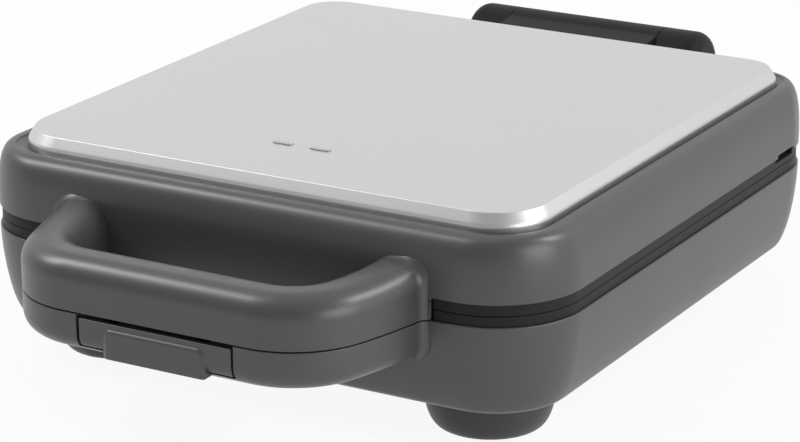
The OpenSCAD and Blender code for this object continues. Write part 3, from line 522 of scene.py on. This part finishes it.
def coated(*nodes):
    """Gives CAD nodes that stay as they are their finish."""
    for node in nodes:
        data = frame["nodes"][node].data
        data.materials.clear()
        data.materials.append(finish(NODE_SLOTS[node]))


# ---- rounded shells


class Outline:
    """Rounded rectangle run through anticlockwise, from the front end of its right side."""

    def __init__(self, half, front_r, rear_r):
        self.x, self.y = half
        self.front_r, self.rear_r = front_r, rear_r
        side = 2 * self.y - front_r - rear_r
        quarter = math.pi / 2
        self.lengths = [
            side, rear_r * quarter, 2 * (self.x - rear_r), rear_r * quarter,
            side, front_r * quarter, 2 * (self.x - front_r), front_r * quarter,
        ]

    def locate(self, s):
        """The part of the outline that holds a distance along it, and the share of that part."""
        s %= sum(self.lengths)
        for part, span in enumerate(self.lengths):
            if s <= span or part == 7:
                return part, min(1.0, s / span)
            s -= span

    def at(self, part, share):
        """The point a share of the way along one part; odd parts are the corners."""
        x, y, f, r = self.x, self.y, self.front_r, self.rear_r
        if part % 2:
            centre_x, centre_y, radius = {
                1: (x - r, y - r, r), 3: (r - x, y - r, r),
                5: (f - x, f - y, f), 7: (x - f, f - y, f),
            }[part]
            angle = math.pi / 2 * ((part - 1) / 2 + share)
            return centre_x + radius * math.cos(angle), centre_y + radius * math.sin(angle)
        ends = {
            0: ((x, f - y), (x, y - r)), 2: ((x - r, y), (r - x, y)),
            4: ((-x, y - r), (-x, f - y)), 6: ((f - x, -y), (x - f, -y)),
        }[part]
        return tuple(a + (b - a) * share for a, b in zip(*ends))


def shrunk(outline, inset, front_r=None, rear_r=None):
    return Outline(
        (outline.x - inset, outline.y - inset),
        outline.front_r - inset if front_r is None else front_r,
        outline.rear_r - inset if rear_r is None else rear_r,
    )


def step_path(s, z_before, z_after, radius, window, steps=4):
    """Edge that steps from one height to another with both corners rounded.

    Its points are (distance along, height, share of the tangent along, share of it upward).
    """
    sign = 1 if z_after > z_before else -1
    turns = quarter_turn(steps)
    path = [(s - window, z_before, 1.0, 0.0)]
    path += [(s - radius + radius * math.sin(a), z_before + sign * radius * (1 - math.cos(a)),
              math.cos(a), sign * math.sin(a)) for a in turns]
    path += [(s + radius - radius * math.cos(a), z_after - sign * radius * (1 - math.sin(a)),
              math.sin(a), sign * math.cos(a)) for a in turns]
    path.append((s + window, z_after, 1.0, 0.0))
    return path


CORNER_COLUMNS = 14
SIDE_COLUMNS = 8


def edge_columns(outline, level, steps, up):
    """Columns of a shell: where each stands on the outline, and its point and normal on the shell's edge.

    steps hold (s, height before, height after, radius, window); up is 1 where the wall is above the edge.
    """
    columns = []
    start = 0.0
    for part, span in enumerate(outline.lengths):
        count = CORNER_COLUMNS if part % 2 else SIDE_COLUMNS
        for i in range(count):
            s = start + span * i / count
            if any(abs(s - step[0]) <= step[4] * 1.02 for step in steps):
                continue
            z = level
            for begin, end in zip(steps[::2], steps[1::2]):
                if begin[0] < s < end[0]:
                    z = begin[2]
            columns.append((s, s, z, 0.0, float(up)))
        start += span
    for step in steps:
        path = step_path(*step)
        for i, (s, z, ts, tz) in enumerate(path):
            top_s = step[0] - step[4] + 2 * step[4] * i / (len(path) - 1)
            columns.append((top_s, s, z, -tz * up, ts * up))
    return sorted(columns)


class Shell:
    """Rings of a shell whose columns keep their places on the outline at its edge."""

    def __init__(self, outline, columns):
        self.outline, self.columns = outline, columns
        self.centre = middle("lower_housing")

    def place(self, ring, s):
        x, y = ring.at(*self.outline.locate(s))
        return x + self.centre.x, y + self.centre.y

    def level(self, ring, z):
        return [(*self.place(ring, column[0]), z) for column in self.columns]

    def edge(self, fillet, inward, depth_sign=1, steps=4):
        """Rings over the rounded edge, from its face onto the edge itself."""
        rows = []
        for a in quarter_turn(steps):
            along = fillet * (1 - math.sin(a))
            ring = shrunk(self.outline, inward + depth_sign * fillet * (1 - math.cos(a)))
            rows.append([
                (*self.place(ring, s + ns * along), z + nz * along) for _, s, z, ns, nz in self.columns
            ])
        return rows


def superellipse(width, height, power, steps):
    """Insets and rises of a wall that leans in, from its foot to its top."""
    return [
        (width * (1 - math.cos(a) ** (2 / power)), height * math.sin(a) ** (2 / power))
        for a in quarter_turn(steps)
    ]


def seam_outline():
    sizes = housing_sizes()
    return Outline(tuple(sizes.half), sizes.corner, sizes.corner)


def front_distance(outline, x):
    """Distance along the outline of a point on its front side."""
    return sum(outline.lengths[:6]) + (x + outline.x - outline.front_r)


# How much the radius of a cover corner grows for each unit that the outline moves outward.
CORNER_SPREAD = 0.8


def lid_housing():
    """Lid shell with its apron, side notches, rim and the recess that holds the cover."""
    sizes = housing_sizes()
    seam = seam_outline()
    edge, rim = sizes.lid_edge, sizes.rim
    apron_z, notch_z = handle_sizes().split, edge + 1.7 * MM
    side_front = seam.front_r - seam.y
    notch_front, notch_rear = 89.5 * MM - side_front, 107 * MM - side_front
    left_end = sum(seam.lengths[:5])
    notch_step, apron_step = (0.8 * MM, 1.6 * MM), (1.2 * MM, 2.4 * MM)
    steps = [
        (notch_front, edge, notch_z, *notch_step),
        (notch_rear, notch_z, edge, *notch_step),
        (left_end - notch_rear, edge, notch_z, *notch_step),
        (left_end - notch_front, notch_z, edge, *notch_step),
        (front_distance(seam, -sizes.apron_half), edge, apron_z, *apron_step),
        (front_distance(seam, sizes.apron_half), apron_z, edge, *apron_step),
    ]
    shell = Shell(seam, edge_columns(seam, edge, steps, 1))
    rim_radii = (18 * MM, 13.5 * MM)
    recess_inset = sizes.lid_curve - 0.4 * MM
    deck_z = rim - 2.7 * MM

    def ring(inset, z):
        share = inset / sizes.lid_curve
        radii = [sizes.corner + (r - sizes.corner) * share for r in rim_radii]
        return shell.level(shrunk(seam, inset, *radii), z)

    skirt_out = 2.9 * MM
    skirt_inset = sizes.half[0] - sizes.cover_half[0] - skirt_out
    skirt_radii = [r + skirt_out * CORNER_SPREAD for r in sizes.cover_corner]

    def ledge(gap, z):
        radii = [r + gap for r in skirt_radii]
        return shell.level(shrunk(seam, skirt_inset - gap, *radii), z)

    rows = [
        ledge(0.15 * MM, deck_z),
        ledge(0.2 * MM, rim - 1.45 * MM),
        ledge(0.5 * MM, rim - 1.2 * MM),
    ]
    crest = 0.45 * MM
    rows += [ring(recess_inset + crest * math.sin(a), rim - 0.05 * MM - crest * (1 - math.cos(a)))
             for a in (math.radians(d) for d in (80, 55, 30, 5))]
    leaning = superellipse(sizes.lid_curve, rim - edge, 3, 22)
    wall = [(inset, z) for inset, z in leaning if 4.5 * MM < z and inset < recess_inset - crest]
    rows += [ring(inset, edge + z) for inset, z in reversed(wall)]
    rows += shell.edge(sizes.edge_fillet, 0.0)
    rows += shell.edge(sizes.edge_fillet, sizes.wall, -1)[::-1]
    rows.append(shell.level(shrunk(seam, sizes.wall), 78 * MM))
    rows.append(shell.level(shrunk(seam, sizes.wall + 2.6 * MM), deck_z - 2.2 * MM))
    dressed(bare_object("lid_housing", skin(rows)), "upper_housing")


def base_housing():
    """Base shell that draws in to a flat underside, lower at the front where the handle's joint runs."""
    sizes = housing_sizes()
    seam = seam_outline()
    front_z = handle_sizes().split - handle_sizes().split_gap
    lowered_half, ramp = sizes.apron_half + 1.5 * MM, 1.2 * MM
    left, right = front_distance(seam, -lowered_half), front_distance(seam, lowered_half)
    columns = []
    for s, edge_s, z, ns, nz in edge_columns(seam, sizes.base_edge, [], -1):
        blend = min(1.0, max(0.0, min(s - left, right - s) / ramp + 0.5))
        columns.append((s, edge_s, z + (front_z - z) * blend, ns, nz))
    shell = Shell(seam, columns)
    rise = sizes.base_edge - sizes.floor
    inside_z = sizes.floor + sizes.wall
    fillet = 1.3 * MM

    def ring(inset, drop):
        return shell.level(shrunk(seam, inset), sizes.base_edge - drop)

    rows = [
        shell.level(shrunk(seam, sizes.base_curve + sizes.wall), inside_z),
        shell.level(shrunk(seam, sizes.base_curve), inside_z),
        shell.level(shrunk(seam, sizes.wall), sizes.base_edge - 6 * MM),
    ]
    rows += shell.edge(sizes.edge_fillet, sizes.wall, -1)
    rows += shell.edge(sizes.edge_fillet, 0.0)[::-1]
    wall = superellipse(sizes.base_curve, rise, 1.7, 26)
    rows += [ring(inset, drop) for inset, drop in wall if 1.4 * MM < drop < rise - fillet * 0.8]
    for turn in (math.radians(d) for d in (20, 45, 70, 90)):
        short = fillet * (1 - math.sin(turn))
        rows.append(ring(sizes.base_curve - fillet * (0.75 - math.sin(turn)), rise - short * 0.55))
    dressed(bare_object("base_housing", skin(rows)), "lower_housing")


# ---- cover and windows


def cover_rows():
    """Rings of the sheet, from its crowned middle over the bevel and back along its underside."""
    sizes = housing_sizes()
    flat = Outline(tuple(sizes.cover_half), *sizes.cover_corner)
    shell = Shell(flat, edge_columns(flat, 0.0, [], 1))

    def ring(out, z):
        radii = [r + out * CORNER_SPREAD for r in sizes.cover_corner]
        return shell.level(shrunk(flat, -out, *radii), z)

    def crowned(share):
        radii = [r * share for r in sizes.cover_corner]
        inner = Outline(tuple(v * share for v in sizes.cover_half), *radii)
        return shell.level(inner, sizes.cover_plane + sizes.crown * (1 - share * share))

    rows = [crowned(s / 24) for s in range(2, 24)]
    # Section of the sheet's edge in mm, out from the flat edge and up from it.
    bevel = [(-0.75, 0.0), (-0.12, -0.01), (0.03, -0.04), (0.12, -0.14), (2.3, -3.75),
             (2.55, -4.2), (2.74, -4.65), (2.86, -5.15), (2.9, -5.7), (2.9, -8.9), (2.72, -9.1)]
    inside = [(2.28, -9.1), (2.1, -8.9), (2.1, -5.7), (0.2, -1.5), (-0.75, -0.8)]
    rows += [ring(out * MM, sizes.cover_plane + up * MM) for out, up in bevel + inside]
    sheet = 0.8 * MM
    rows += [[(x, y, z - sheet) for x, y, z in crowned(s / 8)] for s in (7, 5, 3, 1)]
    return rows


def slot_mesh(half_length, half_width, z0, z1, centre, steps=12, crown=0.0, fillet=0.0):
    """Upright solid with a slot outline and an optional rounded top edge."""
    ends = [arc((half_length - half_width, 0.0), half_width, -90, 90, steps),
            arc((half_width - half_length, 0.0), half_width, 90, 270, steps)]
    outline = [p for end in ends for p in end]

    def ring(shrink, z):
        share_x = (half_length - shrink) / half_length
        share_y = (half_width - shrink) / half_width
        return [(centre.x + x * share_x, centre.y + y * share_y, z) for x, y in outline]

    rows = [ring(0.0, z0)]
    if fillet:
        rows += [ring(fillet * (1 - math.cos(a)), z1 - crown - fillet * (1 - math.sin(a)))
                 for a in (math.radians(d) for d in (0, 30, 60, 90))]
        rows += [ring(half_width * s, z1 - crown * (1 - s) ** 2) for s in (0.45, 0.7)]
    else:
        rows.append(ring(0.0, z1))
    return skin(rows)


# Half length and half width of a window's opening and of its lens.
WINDOW_HALF = (4.95 * MM, 1.8 * MM)
LENS_HALF = (4.6 * MM, 1.45 * MM)
CUT_REACH = 6 * MM


def windows_and_cover():
    """Crowned cover with two slots, and the lenses that stand in them."""
    cover = bare_object("cover_sheet", skin(cover_rows()))
    for node in ("power_lens", "ready_lens"):
        centre, top = middle(node), high(node).z
        cut(cover, slot_mesh(*WINDOW_HALF, top - CUT_REACH, top + CUT_REACH, centre))
        lens = slot_mesh(*LENS_HALF, low(node).z, top, centre, crown=0.12 * MM, fillet=0.3 * MM)
        dressed(bare_object(node + "_piece", lens), node)
    dressed(cover, "top_cover", sharp=50.0)


# ---- handle and latch


def flare_share(angle, root, spread):
    """How far a point has come into the flare at the handle's root, from 0 to 1."""
    return min(1.0, max(0.0, (angle - (root - spread)) / spread))


class HandleRun:
    """Plan line along the handle's outer face, from the middle of the grip to the root in the front wall."""

    # The long side curve's radius and first angle, the flare's reach and swelling at the root,
    # the rise of the top towards the root, and how far the run goes on into the wall.
    SIDE_R = 240 * MM
    SIDE_ANGLE = math.radians(-18)
    FLARE_REACH = 4.5 * MM
    FLARE_W = 2.6 * MM
    LIFT = 2.6 * MM
    OVERRUN = 1.6 * MM

    def __init__(self):
        handle, housing = handle_sizes(), housing_sizes()
        self.bend = (handle.flat, -handle.reach + handle.bend)
        start = [c + handle.bend * f(self.SIDE_ANGLE) for c, f in zip(self.bend, (math.cos, math.sin))]
        self.side = [c - self.SIDE_R * f(self.SIDE_ANGLE) for c, f in zip(start, (math.cos, math.sin))]
        wall_y = -housing.half[1] + 0.5 * MM
        self.root = math.asin((wall_y - self.side[1]) / self.SIDE_R)
        self.spread = self.FLARE_REACH / self.SIDE_R

    def stations(self):
        """Centre, radius, angle, swelling and lift of each section."""
        handle = handle_sizes()
        made = [((handle.flat * i / 4, self.bend[1]), handle.bend, -math.pi / 2) for i in range(4)]
        for i in range(17):
            turn = -math.pi / 2 + (math.pi / 2 + self.SIDE_ANGLE) * i / 16
            made.append((self.bend, handle.bend, turn))
        begin = self.root - self.spread
        for i in range(1, 7):
            made.append((self.side, self.SIDE_R, self.SIDE_ANGLE + (begin - self.SIDE_ANGLE) * i / 6))
        for i in range(1, 11):
            made.append((self.side, self.SIDE_R, begin + self.spread * math.sin(math.pi / 2 * i / 10)))
        made.append((self.side, self.SIDE_R, self.root + self.OVERRUN / self.SIDE_R))
        full = []
        for centre, radius, angle in made:
            u = flare_share(angle, self.root, self.spread)
            swell = self.FLARE_W * (1 - math.sqrt(1 - u * u))
            lift = self.LIFT * max(0.0, (angle - self.SIDE_ANGLE) / (self.root - self.SIDE_ANGLE)) ** 2
            full.append((centre, radius, angle, swell, lift))
        return full


# Radius of the small rounding on both sides of the split.
SPLIT_ROUND = 0.35 * MM


def upper_section(lift):
    """Insets and heights around the upper half, from its outer lower edge over the top."""
    h = handle_sizes()
    r, f = h.top_round, SPLIT_ROUND
    top, straight = h.top + lift, h.split + 5 * MM
    return (
        [(f, h.split), (f * 0.3, h.split + f * 0.3), (0.0, h.split + f), (0.0, straight)]
        + arc((r, top - r), r, 180, 90, 10)
        + arc((h.depth - r, top - r), r, 90, 0, 10)
        + [(h.depth, straight), (h.depth, h.split + f), (h.depth - f * 0.3, h.split + f * 0.3),
           (h.depth - f, h.split)]
    )


def lower_section(_lift):
    """Insets and heights around the lower half, from its inner upper edge under the bottom.

    The underside stays level, so it doesn't follow the lift of the upper half.
    """
    h = handle_sizes()
    r, f = h.edge_round, SPLIT_ROUND
    top = h.split - h.split_gap
    straight = top - 4 * MM
    return (
        [(h.depth - f, top), (h.depth - f * 0.3, top - f * 0.3), (h.depth, top - f), (h.depth, straight)]
        + arc((h.depth - r, h.bottom + r), r, 0, -90, 8)
        + arc((r, h.bottom + r), r, 270, 180, 8)
        + [(0.0, straight), (0.0, top - f), (f * 0.3, top - f * 0.3), (f, top)]
    )


def handle_mesh(section):
    """One half of the handle, swept from its left root round the grip to its right root."""
    h = handle_sizes()
    origin = middle("lower_housing")

    def ring(station, side):
        (cx, cy), radius, angle, swell, lift = station
        points = []
        for inset, z in section(lift):
            out = inset - swell if inset < h.depth / 2 else inset + swell
            rise = 0.0 if abs(z - h.split) < 1 * MM else (swell if z > h.split else -swell * 0.3)
            reach = radius - out
            points.append((origin.x + side * (cx + reach * math.cos(angle)),
                           origin.y + cy + reach * math.sin(angle), z + rise))
        return points

    stations = HandleRun().stations()
    left = [ring(s, -1) for s in reversed(stations)]
    right = [ring(s, 1) for s in stations[1:]]
    return skin(left + right)


def grip_front(z):
    """Y of the grip's front face at a height, in the frame."""
    h = handle_sizes()
    front = middle("lower_housing").y - h.reach
    drop = h.bottom + h.edge_round - z
    return front + (h.edge_round - math.sqrt(max(0.0, h.edge_round**2 - drop**2)) if drop > 0 else 0.0)


def handle_halves():
    """Both halves of the handle, hollowed where the latch hangs and where its tab is reached."""
    h = handle_sizes()
    front = middle("lower_housing").y - h.reach
    clear = 5 * MM  # how far a cutter reaches past what it cuts
    above, plate_back = h.split + clear, front + 3.8 * MM
    slot_half, tab_half, plate_half = 25 * MM, 26 * MM, h.latch_half + 1.15 * MM
    upper = bare_object("upper_handle_shell", handle_mesh(upper_section))
    cut(upper, box_mesh((-slot_half, front + 2.3 * MM, h.split - clear),
                        (slot_half, front + 13 * MM, h.split + 12 * MM)))
    dressed(upper, "upper_handle")
    lower = bare_object("lower_handle_shell", handle_mesh(lower_section))
    cut(lower, box_mesh((h.latch_shift - plate_half, front - clear, h.latch_low - 0.7 * MM),
                        (h.latch_shift + plate_half, plate_back, above)))
    cut(lower, box_mesh((-tab_half, front - clear, h.bottom - clear), (tab_half, plate_back, above)))
    cut(lower, box_mesh((-slot_half, front + 1 * MM, h.latch_low), (slot_half, front + 14 * MM, above)))
    rounded(lower, 0.25 * MM, 60.0)
    dressed(lower, "lower_handle")


def tab_mesh(front):
    """Raised thumb tab whose flanks slope to the latch plate."""
    shift = handle_sizes().latch_shift
    # In mm: depth behind the grip's front, half width, bottom, top, radius of the upper corners.
    levels = [
        (5.0, 24.2, 42.5, 55.2, 3.6), (0.1, 24.2, 42.45, 55.2, 3.6), (-0.35, 23.7, 42.45, 54.9, 3.2),
        (-0.75, 22.9, 42.55, 54.4, 2.6), (-1.0, 22.3, 42.8, 54.0, 2.2), (-1.1, 21.6, 43.4, 53.4, 1.8),
    ]
    low_r = 0.8
    rows = []
    for y, half, z0, z1, r in levels:
        corners = [((half - r, z1 - r), 0, r), ((r - half, z1 - r), 90, r),
                   ((low_r - half, z0 + low_r), 180, low_r), ((half - low_r, z0 + low_r), 270, low_r)]
        ring = [p for centre, turn, radius in corners for p in arc(centre, radius, turn, turn + 90, 6)]
        rows.append([(x * MM + shift, front + y * MM, z * MM) for x, z in ring])
    return skin(rows)


def latch_plate_mesh():
    """Plate that follows the grip's front face, with a square upper edge."""
    h = handle_sizes()
    levels = [h.latch_low + (h.latch_top - h.latch_low) * i / 10 for i in range(11)]
    thick = 3 * MM
    face = [(grip_front(z), z) for z in levels]
    back = [(y + thick, z) for y, z in reversed(face)]
    section = face + back
    half = h.latch_half
    rows = [[(h.latch_shift + x, y, z) for y, z in section]
            for x in (-half, -half * 0.6, -half * 0.2, half * 0.2, half * 0.6, half)]
    return skin(rows)


def latch_piece():
    """Latch with its plate, tab, web, hook and bridge, and the tube that turns on the pin."""
    h = handle_sizes()
    front = middle("lower_housing").y - h.reach
    pivot_y, pivot_z = front + 6 * MM, 64.8 * MM
    web_half, hook_half, web_low = 18.5 * MM, 12 * MM, h.latch_low + 1 * MM
    web = box_mesh((-web_half, pivot_y - 1.4 * MM, web_low), (web_half, pivot_y + 1.4 * MM, pivot_z))
    hook = box_mesh((-hook_half, front + 2.5 * MM, h.latch_low + 3.4 * MM),
                    (hook_half, front + 11.5 * MM, h.latch_low + 6.4 * MM))
    bridge = box_mesh((-web_half, front + 2 * MM, web_low),
                      (web_half, front + 7.4 * MM, h.latch_top - 2 * MM))
    parts = []
    for mesh, *rounding in ((web, 0.4 * MM), (hook, 0.5 * MM), (bridge, 0.4 * MM),
                            (latch_plate_mesh(), 0.5 * MM, 50.0, 3)):
        part = bare_object("latch_part", mesh)
        rounded(part, *rounding)
        parts.append(bmesh.new())
        parts[-1].from_mesh(part.data)
        bpy.data.objects.remove(part)
    # One end of the tube in mm: radius, and distance from the end.
    tube_end = [(0.0, 0.0), (1.53, 0.0), (3.0, 0.0), (3.2, 0.3)]
    profile = [(r * MM, d * MM - web_half) for r, d in tube_end]
    tube = revolved(profile + [(r, -x) for r, x in reversed(profile)], 32)
    moved(tube, Matrix.Translation((0, pivot_y, pivot_z)) @ Matrix.Rotation(math.pi / 2, 4, "Y"))
    dressed(bare_object("latch_piece", joined(*parts, tube, tab_mesh(front))), "latch")


# ---- hinge, feet and the rest


def hinge_pieces():
    for node in ("hinge_arm", "hinge_bracket_left", "hinge_bracket_right"):
        softened(node, 0.6 * MM, 30.0, 3)
    coated("hinge_pin")


def feet():
    """Moulded feet that draw in to a rounded toe, each over its rubber pad."""
    top_r, toe_r, lip = 27.7 * MM, 20.7 * MM, 0.6 * MM
    bore_r, bore_top, pad_r, seat = 4.5 * MM, 8 * MM, 16 * MM, 2 * MM
    slope = quarter_turn(18)[1:]
    well = [(0, bore_top), (bore_r, bore_top), (bore_r, 2.4 * MM), (4.9 * MM, seat), (pad_r, seat),
            (16.1 * MM, lip + 0.4 * MM), (16.5 * MM, lip),
            (toe_r - 1.2 * MM, lip), (toe_r - 0.4 * MM, lip + 0.05 * MM)]
    for node in ("foot_front_left", "foot_front_right", "foot_rear_left", "foot_rear_right"):
        centre, top = middle(node), high(node).z
        side = [(toe_r + (top_r - toe_r) * math.sin(a), top - (top - lip) * math.cos(a)) for a in slope]
        mesh = revolved(well + side + [(0, top)], 96)
        moved(mesh, Matrix.Translation((centre.x, centre.y, 0)))
        dressed(bare_object(node + "_piece", mesh), node)
    coated("foot_pads", "foot_screws")


def cooking_plates():
    for node in ("upper_plate", "lower_plate"):
        softened(node, 0.7 * MM, 35.0, 2)


def other_nodes():
    """Bezels with softened edges, and the finishes of the nodes that keep their CAD shape."""
    twins = ("element", "reflector", "wiring", "plate_nuts",
             "bezel_screws", "handle_screws", "shield_screws")
    for half in ("upper", "lower"):
        softened(half + "_bezel", 0.7 * MM, 50.0, 2)
        coated(*[half + "_" + name for name in twins])
    coated(
        "lamp_holder", "lamp_holder_screws", "power_lamp", "ready_lamp", "thermostat", "thermal_fuse",
        "terminal_block", "cord_gland", "latch_pin", "latch_spring", "latch_catch", "hinge_arm_screws",
        "hinge_screws",
    )


# ---- stage


# Angles in degrees, the place in metres, the lens and the sensor in millimetres.
CAMERA_AZIMUTH = 30.076
CAMERA_ELEVATION = 18.705
CAMERA_ROLL = -0.293
CAMERA_PLACE = (0.6517, -1.1291, 0.4865)
CAMERA_LENS = 138.85
CAMERA_SENSOR = 36.0

# The floor's half size, how far it lies under the pads so that the two don't coincide,
# and the share of it that glows white where the camera or a reflection sees it.
FLOOR_HALF = 8.0
FLOOR_DROP = 0.05 * MM
GLOW_SHARE = 0.92

# The backdrop's bright side, the span over which it brightens, its dim and bright levels,
# and the share of it that lights matt surfaces.
BRIGHT_SIDE = (-0.3, 0.94, 0.15)
BRIGHT_RANGE = (-0.75, 0.65)
BRIGHT_LEVELS = (0.4, 1.0)
AMBIENT_SHARE = 0.5


def camera():
    a, e, r = (math.radians(v) for v in (CAMERA_AZIMUTH, CAMERA_ELEVATION, CAMERA_ROLL))
    back = Vector((math.sin(a) * math.cos(e), -math.cos(a) * math.cos(e), math.sin(e)))
    right = Vector((math.cos(a), math.sin(a), 0.0))
    up = back.cross(right)
    x_axis = right * math.cos(r) + up * math.sin(r)
    y_axis = up * math.cos(r) - right * math.sin(r)
    data = bpy.data.cameras.new("camera")
    data.lens = CAMERA_LENS
    data.sensor_width = CAMERA_SENSOR
    data.clip_start = 0.01
    data.clip_end = 50.0
    made = linked("camera", data)
    axes = Matrix((x_axis, y_axis, back)).transposed().to_4x4()
    made.matrix_world = Matrix.Translation(CAMERA_PLACE) @ axes
    bpy.context.scene.camera = made


def softbox(name, place, aim, size, power):
    data = bpy.data.lights.new(name, "AREA")
    data.shape = "RECTANGLE"
    data.size, data.size_y = size
    data.energy = power
    made = linked(name, data)
    made.location = place
    made.rotation_euler = (Vector(aim) - Vector(place)).to_track_quat("-Z", "Y").to_euler()


def lights():
    softbox("right_box", (1.25, 0.62, 1.2), (0.1, -0.05, 0.06), (0.5, 0.5), 10.0)
    softbox("side_box", (1.7, -0.3, 0.45), (0, 0, 0.06), (1.2, 0.8), 11.0)
    softbox("left_box", (-1.15, -0.46, 1.38), (0, 0, 0.08), (0.4, 0.9), 15.0)


def floor_and_world():
    tree = NodeTree("floor_paint").set(Base_Color=tuple(colours().floor))
    tree.rough(tree.noise(30.0, 2.0), 0.7, 0.8)
    rays = tree.nodes.new("ShaderNodeLightPath").outputs
    glow = tree.node("ShaderNodeEmission", Color=WHITE, Strength=1.0)
    seen = combined(tree, "MAXIMUM", rays["Is Camera Ray"], rays["Is Glossy Ray"])
    mix = tree.nodes.new("ShaderNodeMixShader")
    tree.join(combined(tree, "MULTIPLY", seen, GLOW_SHARE), mix.inputs["Fac"])
    tree.join(tree.shader.outputs[0], mix.inputs[1])
    tree.join(glow.outputs[0], mix.inputs[2])
    tree.join(mix.outputs[0], tree.nodes["Material Output"].inputs["Surface"])
    mesh = bmesh.new()
    bmesh.ops.create_grid(mesh, x_segments=4, y_segments=4, size=FLOOR_HALF)
    bmesh.ops.translate(mesh, vec=(0, 0, -FLOOR_DROP), verts=mesh.verts)
    ground = bare_object("floor", mesh)
    ground.data.materials.append(tree.material)

    world = bpy.data.worlds.new("studio")
    bpy.context.scene.world = world
    world.use_nodes = True
    studio_backdrop(world.node_tree)


def studio_backdrop(tree):
    """White for the camera; for light and gloss, bright behind the object and dim in front of it."""
    toward = tree.nodes.new("ShaderNodeVectorMath")
    toward.operation = "DOT_PRODUCT"
    toward.inputs[1].default_value = BRIGHT_SIDE
    direction = tree.nodes.new("ShaderNodeTexCoord").outputs["Generated"]
    tree.links.new(direction, toward.inputs[0])
    gradient = map_range(tree, toward.outputs["Value"], *BRIGHT_RANGE, *BRIGHT_LEVELS)
    gradient.interpolation_type = "SMOOTHSTEP"
    rays = tree.nodes.new("ShaderNodeLightPath").outputs
    diffuse = map_range(tree, rays["Is Diffuse Ray"], 0.0, 1.0, 1.0, AMBIENT_SHARE)
    lit = combined(tree, "MULTIPLY", gradient.outputs["Result"], diffuse.outputs["Result"])
    seen = combined(tree, "MAXIMUM", rays["Is Camera Ray"], rays["Is Transmission Ray"])
    backdrop = tree.nodes["Background"]
    backdrop.inputs["Color"].default_value = WHITE
    tree.links.new(combined(tree, "MAXIMUM", lit, seen), backdrop.inputs["Strength"])


# ---- operators and panel


class TOASTER_OT_stage(bpy.types.Operator):
    """Floor, light and the camera"""

    bl_idname = "toaster.stage"
    bl_label = "Stage"

    def execute(self, context):
        context.scene.view_settings.view_transform = "Standard"
        camera()
        lights()
        floor_and_world()
        return {"FINISHED"}


class TOASTER_OT_cover(bpy.types.Operator):
    """Steel cover with its two indicator windows"""

    bl_idname = "toaster.cover"
    bl_label = "Cover and windows"

    def execute(self, context):
        windows_and_cover()
        return {"FINISHED"}


class TOASTER_OT_housings(bpy.types.Operator):
    """Moulded shells of the lid and the base"""

    bl_idname = "toaster.housings"
    bl_label = "Housings"

    def execute(self, context):
        lid_housing()
        base_housing()
        return {"FINISHED"}


class TOASTER_OT_handle(bpy.types.Operator):
    """Both halves of the handle"""

    bl_idname = "toaster.handle"
    bl_label = "Handle"

    def execute(self, context):
        handle_halves()
        return {"FINISHED"}


class TOASTER_OT_latch(bpy.types.Operator):
    """Latch plate with its thumb tab, web and hook"""

    bl_idname = "toaster.latch"
    bl_label = "Latch"

    def execute(self, context):
        latch_piece()
        return {"FINISHED"}


class TOASTER_OT_hinge(bpy.types.Operator):
    """Hinge arm, brackets and pin"""

    bl_idname = "toaster.hinge"
    bl_label = "Hinge"

    def execute(self, context):
        hinge_pieces()
        return {"FINISHED"}


class TOASTER_OT_feet(bpy.types.Operator):
    """Feet with their pads and screws"""

    bl_idname = "toaster.feet"
    bl_label = "Feet"

    def execute(self, context):
        feet()
        return {"FINISHED"}


class TOASTER_OT_plates(bpy.types.Operator):
    """Cooking plates"""

    bl_idname = "toaster.plates"
    bl_label = "Cooking plates"

    def execute(self, context):
        cooking_plates()
        return {"FINISHED"}


class TOASTER_OT_inner_parts(bpy.types.Operator):
    """Bezels, heating and fixing parts"""

    bl_idname = "toaster.inner_parts"
    bl_label = "Inner parts"

    def execute(self, context):
        other_nodes()
        return {"FINISHED"}


OPERATORS = (
    TOASTER_OT_stage,
    TOASTER_OT_cover,
    TOASTER_OT_housings,
    TOASTER_OT_handle,
    TOASTER_OT_latch,
    TOASTER_OT_hinge,
    TOASTER_OT_feet,
    TOASTER_OT_plates,
    TOASTER_OT_inner_parts,
)


class TOASTER_PT_panel(bpy.types.Panel):
    """Lists the toaster's parts in the sidebar"""

    bl_idname = "TOASTER_PT_panel"
    bl_label = "Sandwich Toaster"
    bl_space_type = "VIEW_3D"
    bl_region_type = "UI"
    bl_category = "Toaster"

    def draw(self, context):
        for operator in OPERATORS:
            self.layout.operator(operator.bl_idname)
        scene = context.scene
        for group in (scene.toaster_housing, scene.toaster_handle, scene.toaster_colours):
            for name in group.__annotations__:
                self.layout.prop(group, name)


CLASSES = (ToasterHousingSizes, ToasterHandleSizes, ToasterColours, *OPERATORS, TOASTER_PT_panel)


def register():
    for cls in CLASSES:
        bpy.utils.register_class(cls)
    bpy.types.Scene.toaster_housing = PointerProperty(type=ToasterHousingSizes)
    bpy.types.Scene.toaster_handle = PointerProperty(type=ToasterHandleSizes)
    bpy.types.Scene.toaster_colours = PointerProperty(type=ToasterColours)


def unregister():
    del bpy.types.Scene.toaster_colours
    del bpy.types.Scene.toaster_handle
    del bpy.types.Scene.toaster_housing
    for cls in reversed(CLASSES):
        bpy.utils.unregister_class(cls)


def main():
    register()
    bpy.ops.toaster.stage()
    bpy.ops.toaster.cover()
    bpy.ops.toaster.housings()
    bpy.ops.toaster.handle()
    bpy.ops.toaster.latch()
    bpy.ops.toaster.hinge()
    bpy.ops.toaster.feet()
    bpy.ops.toaster.plates()
    bpy.ops.toaster.inner_parts()


if __name__ == "__main__":
    main()
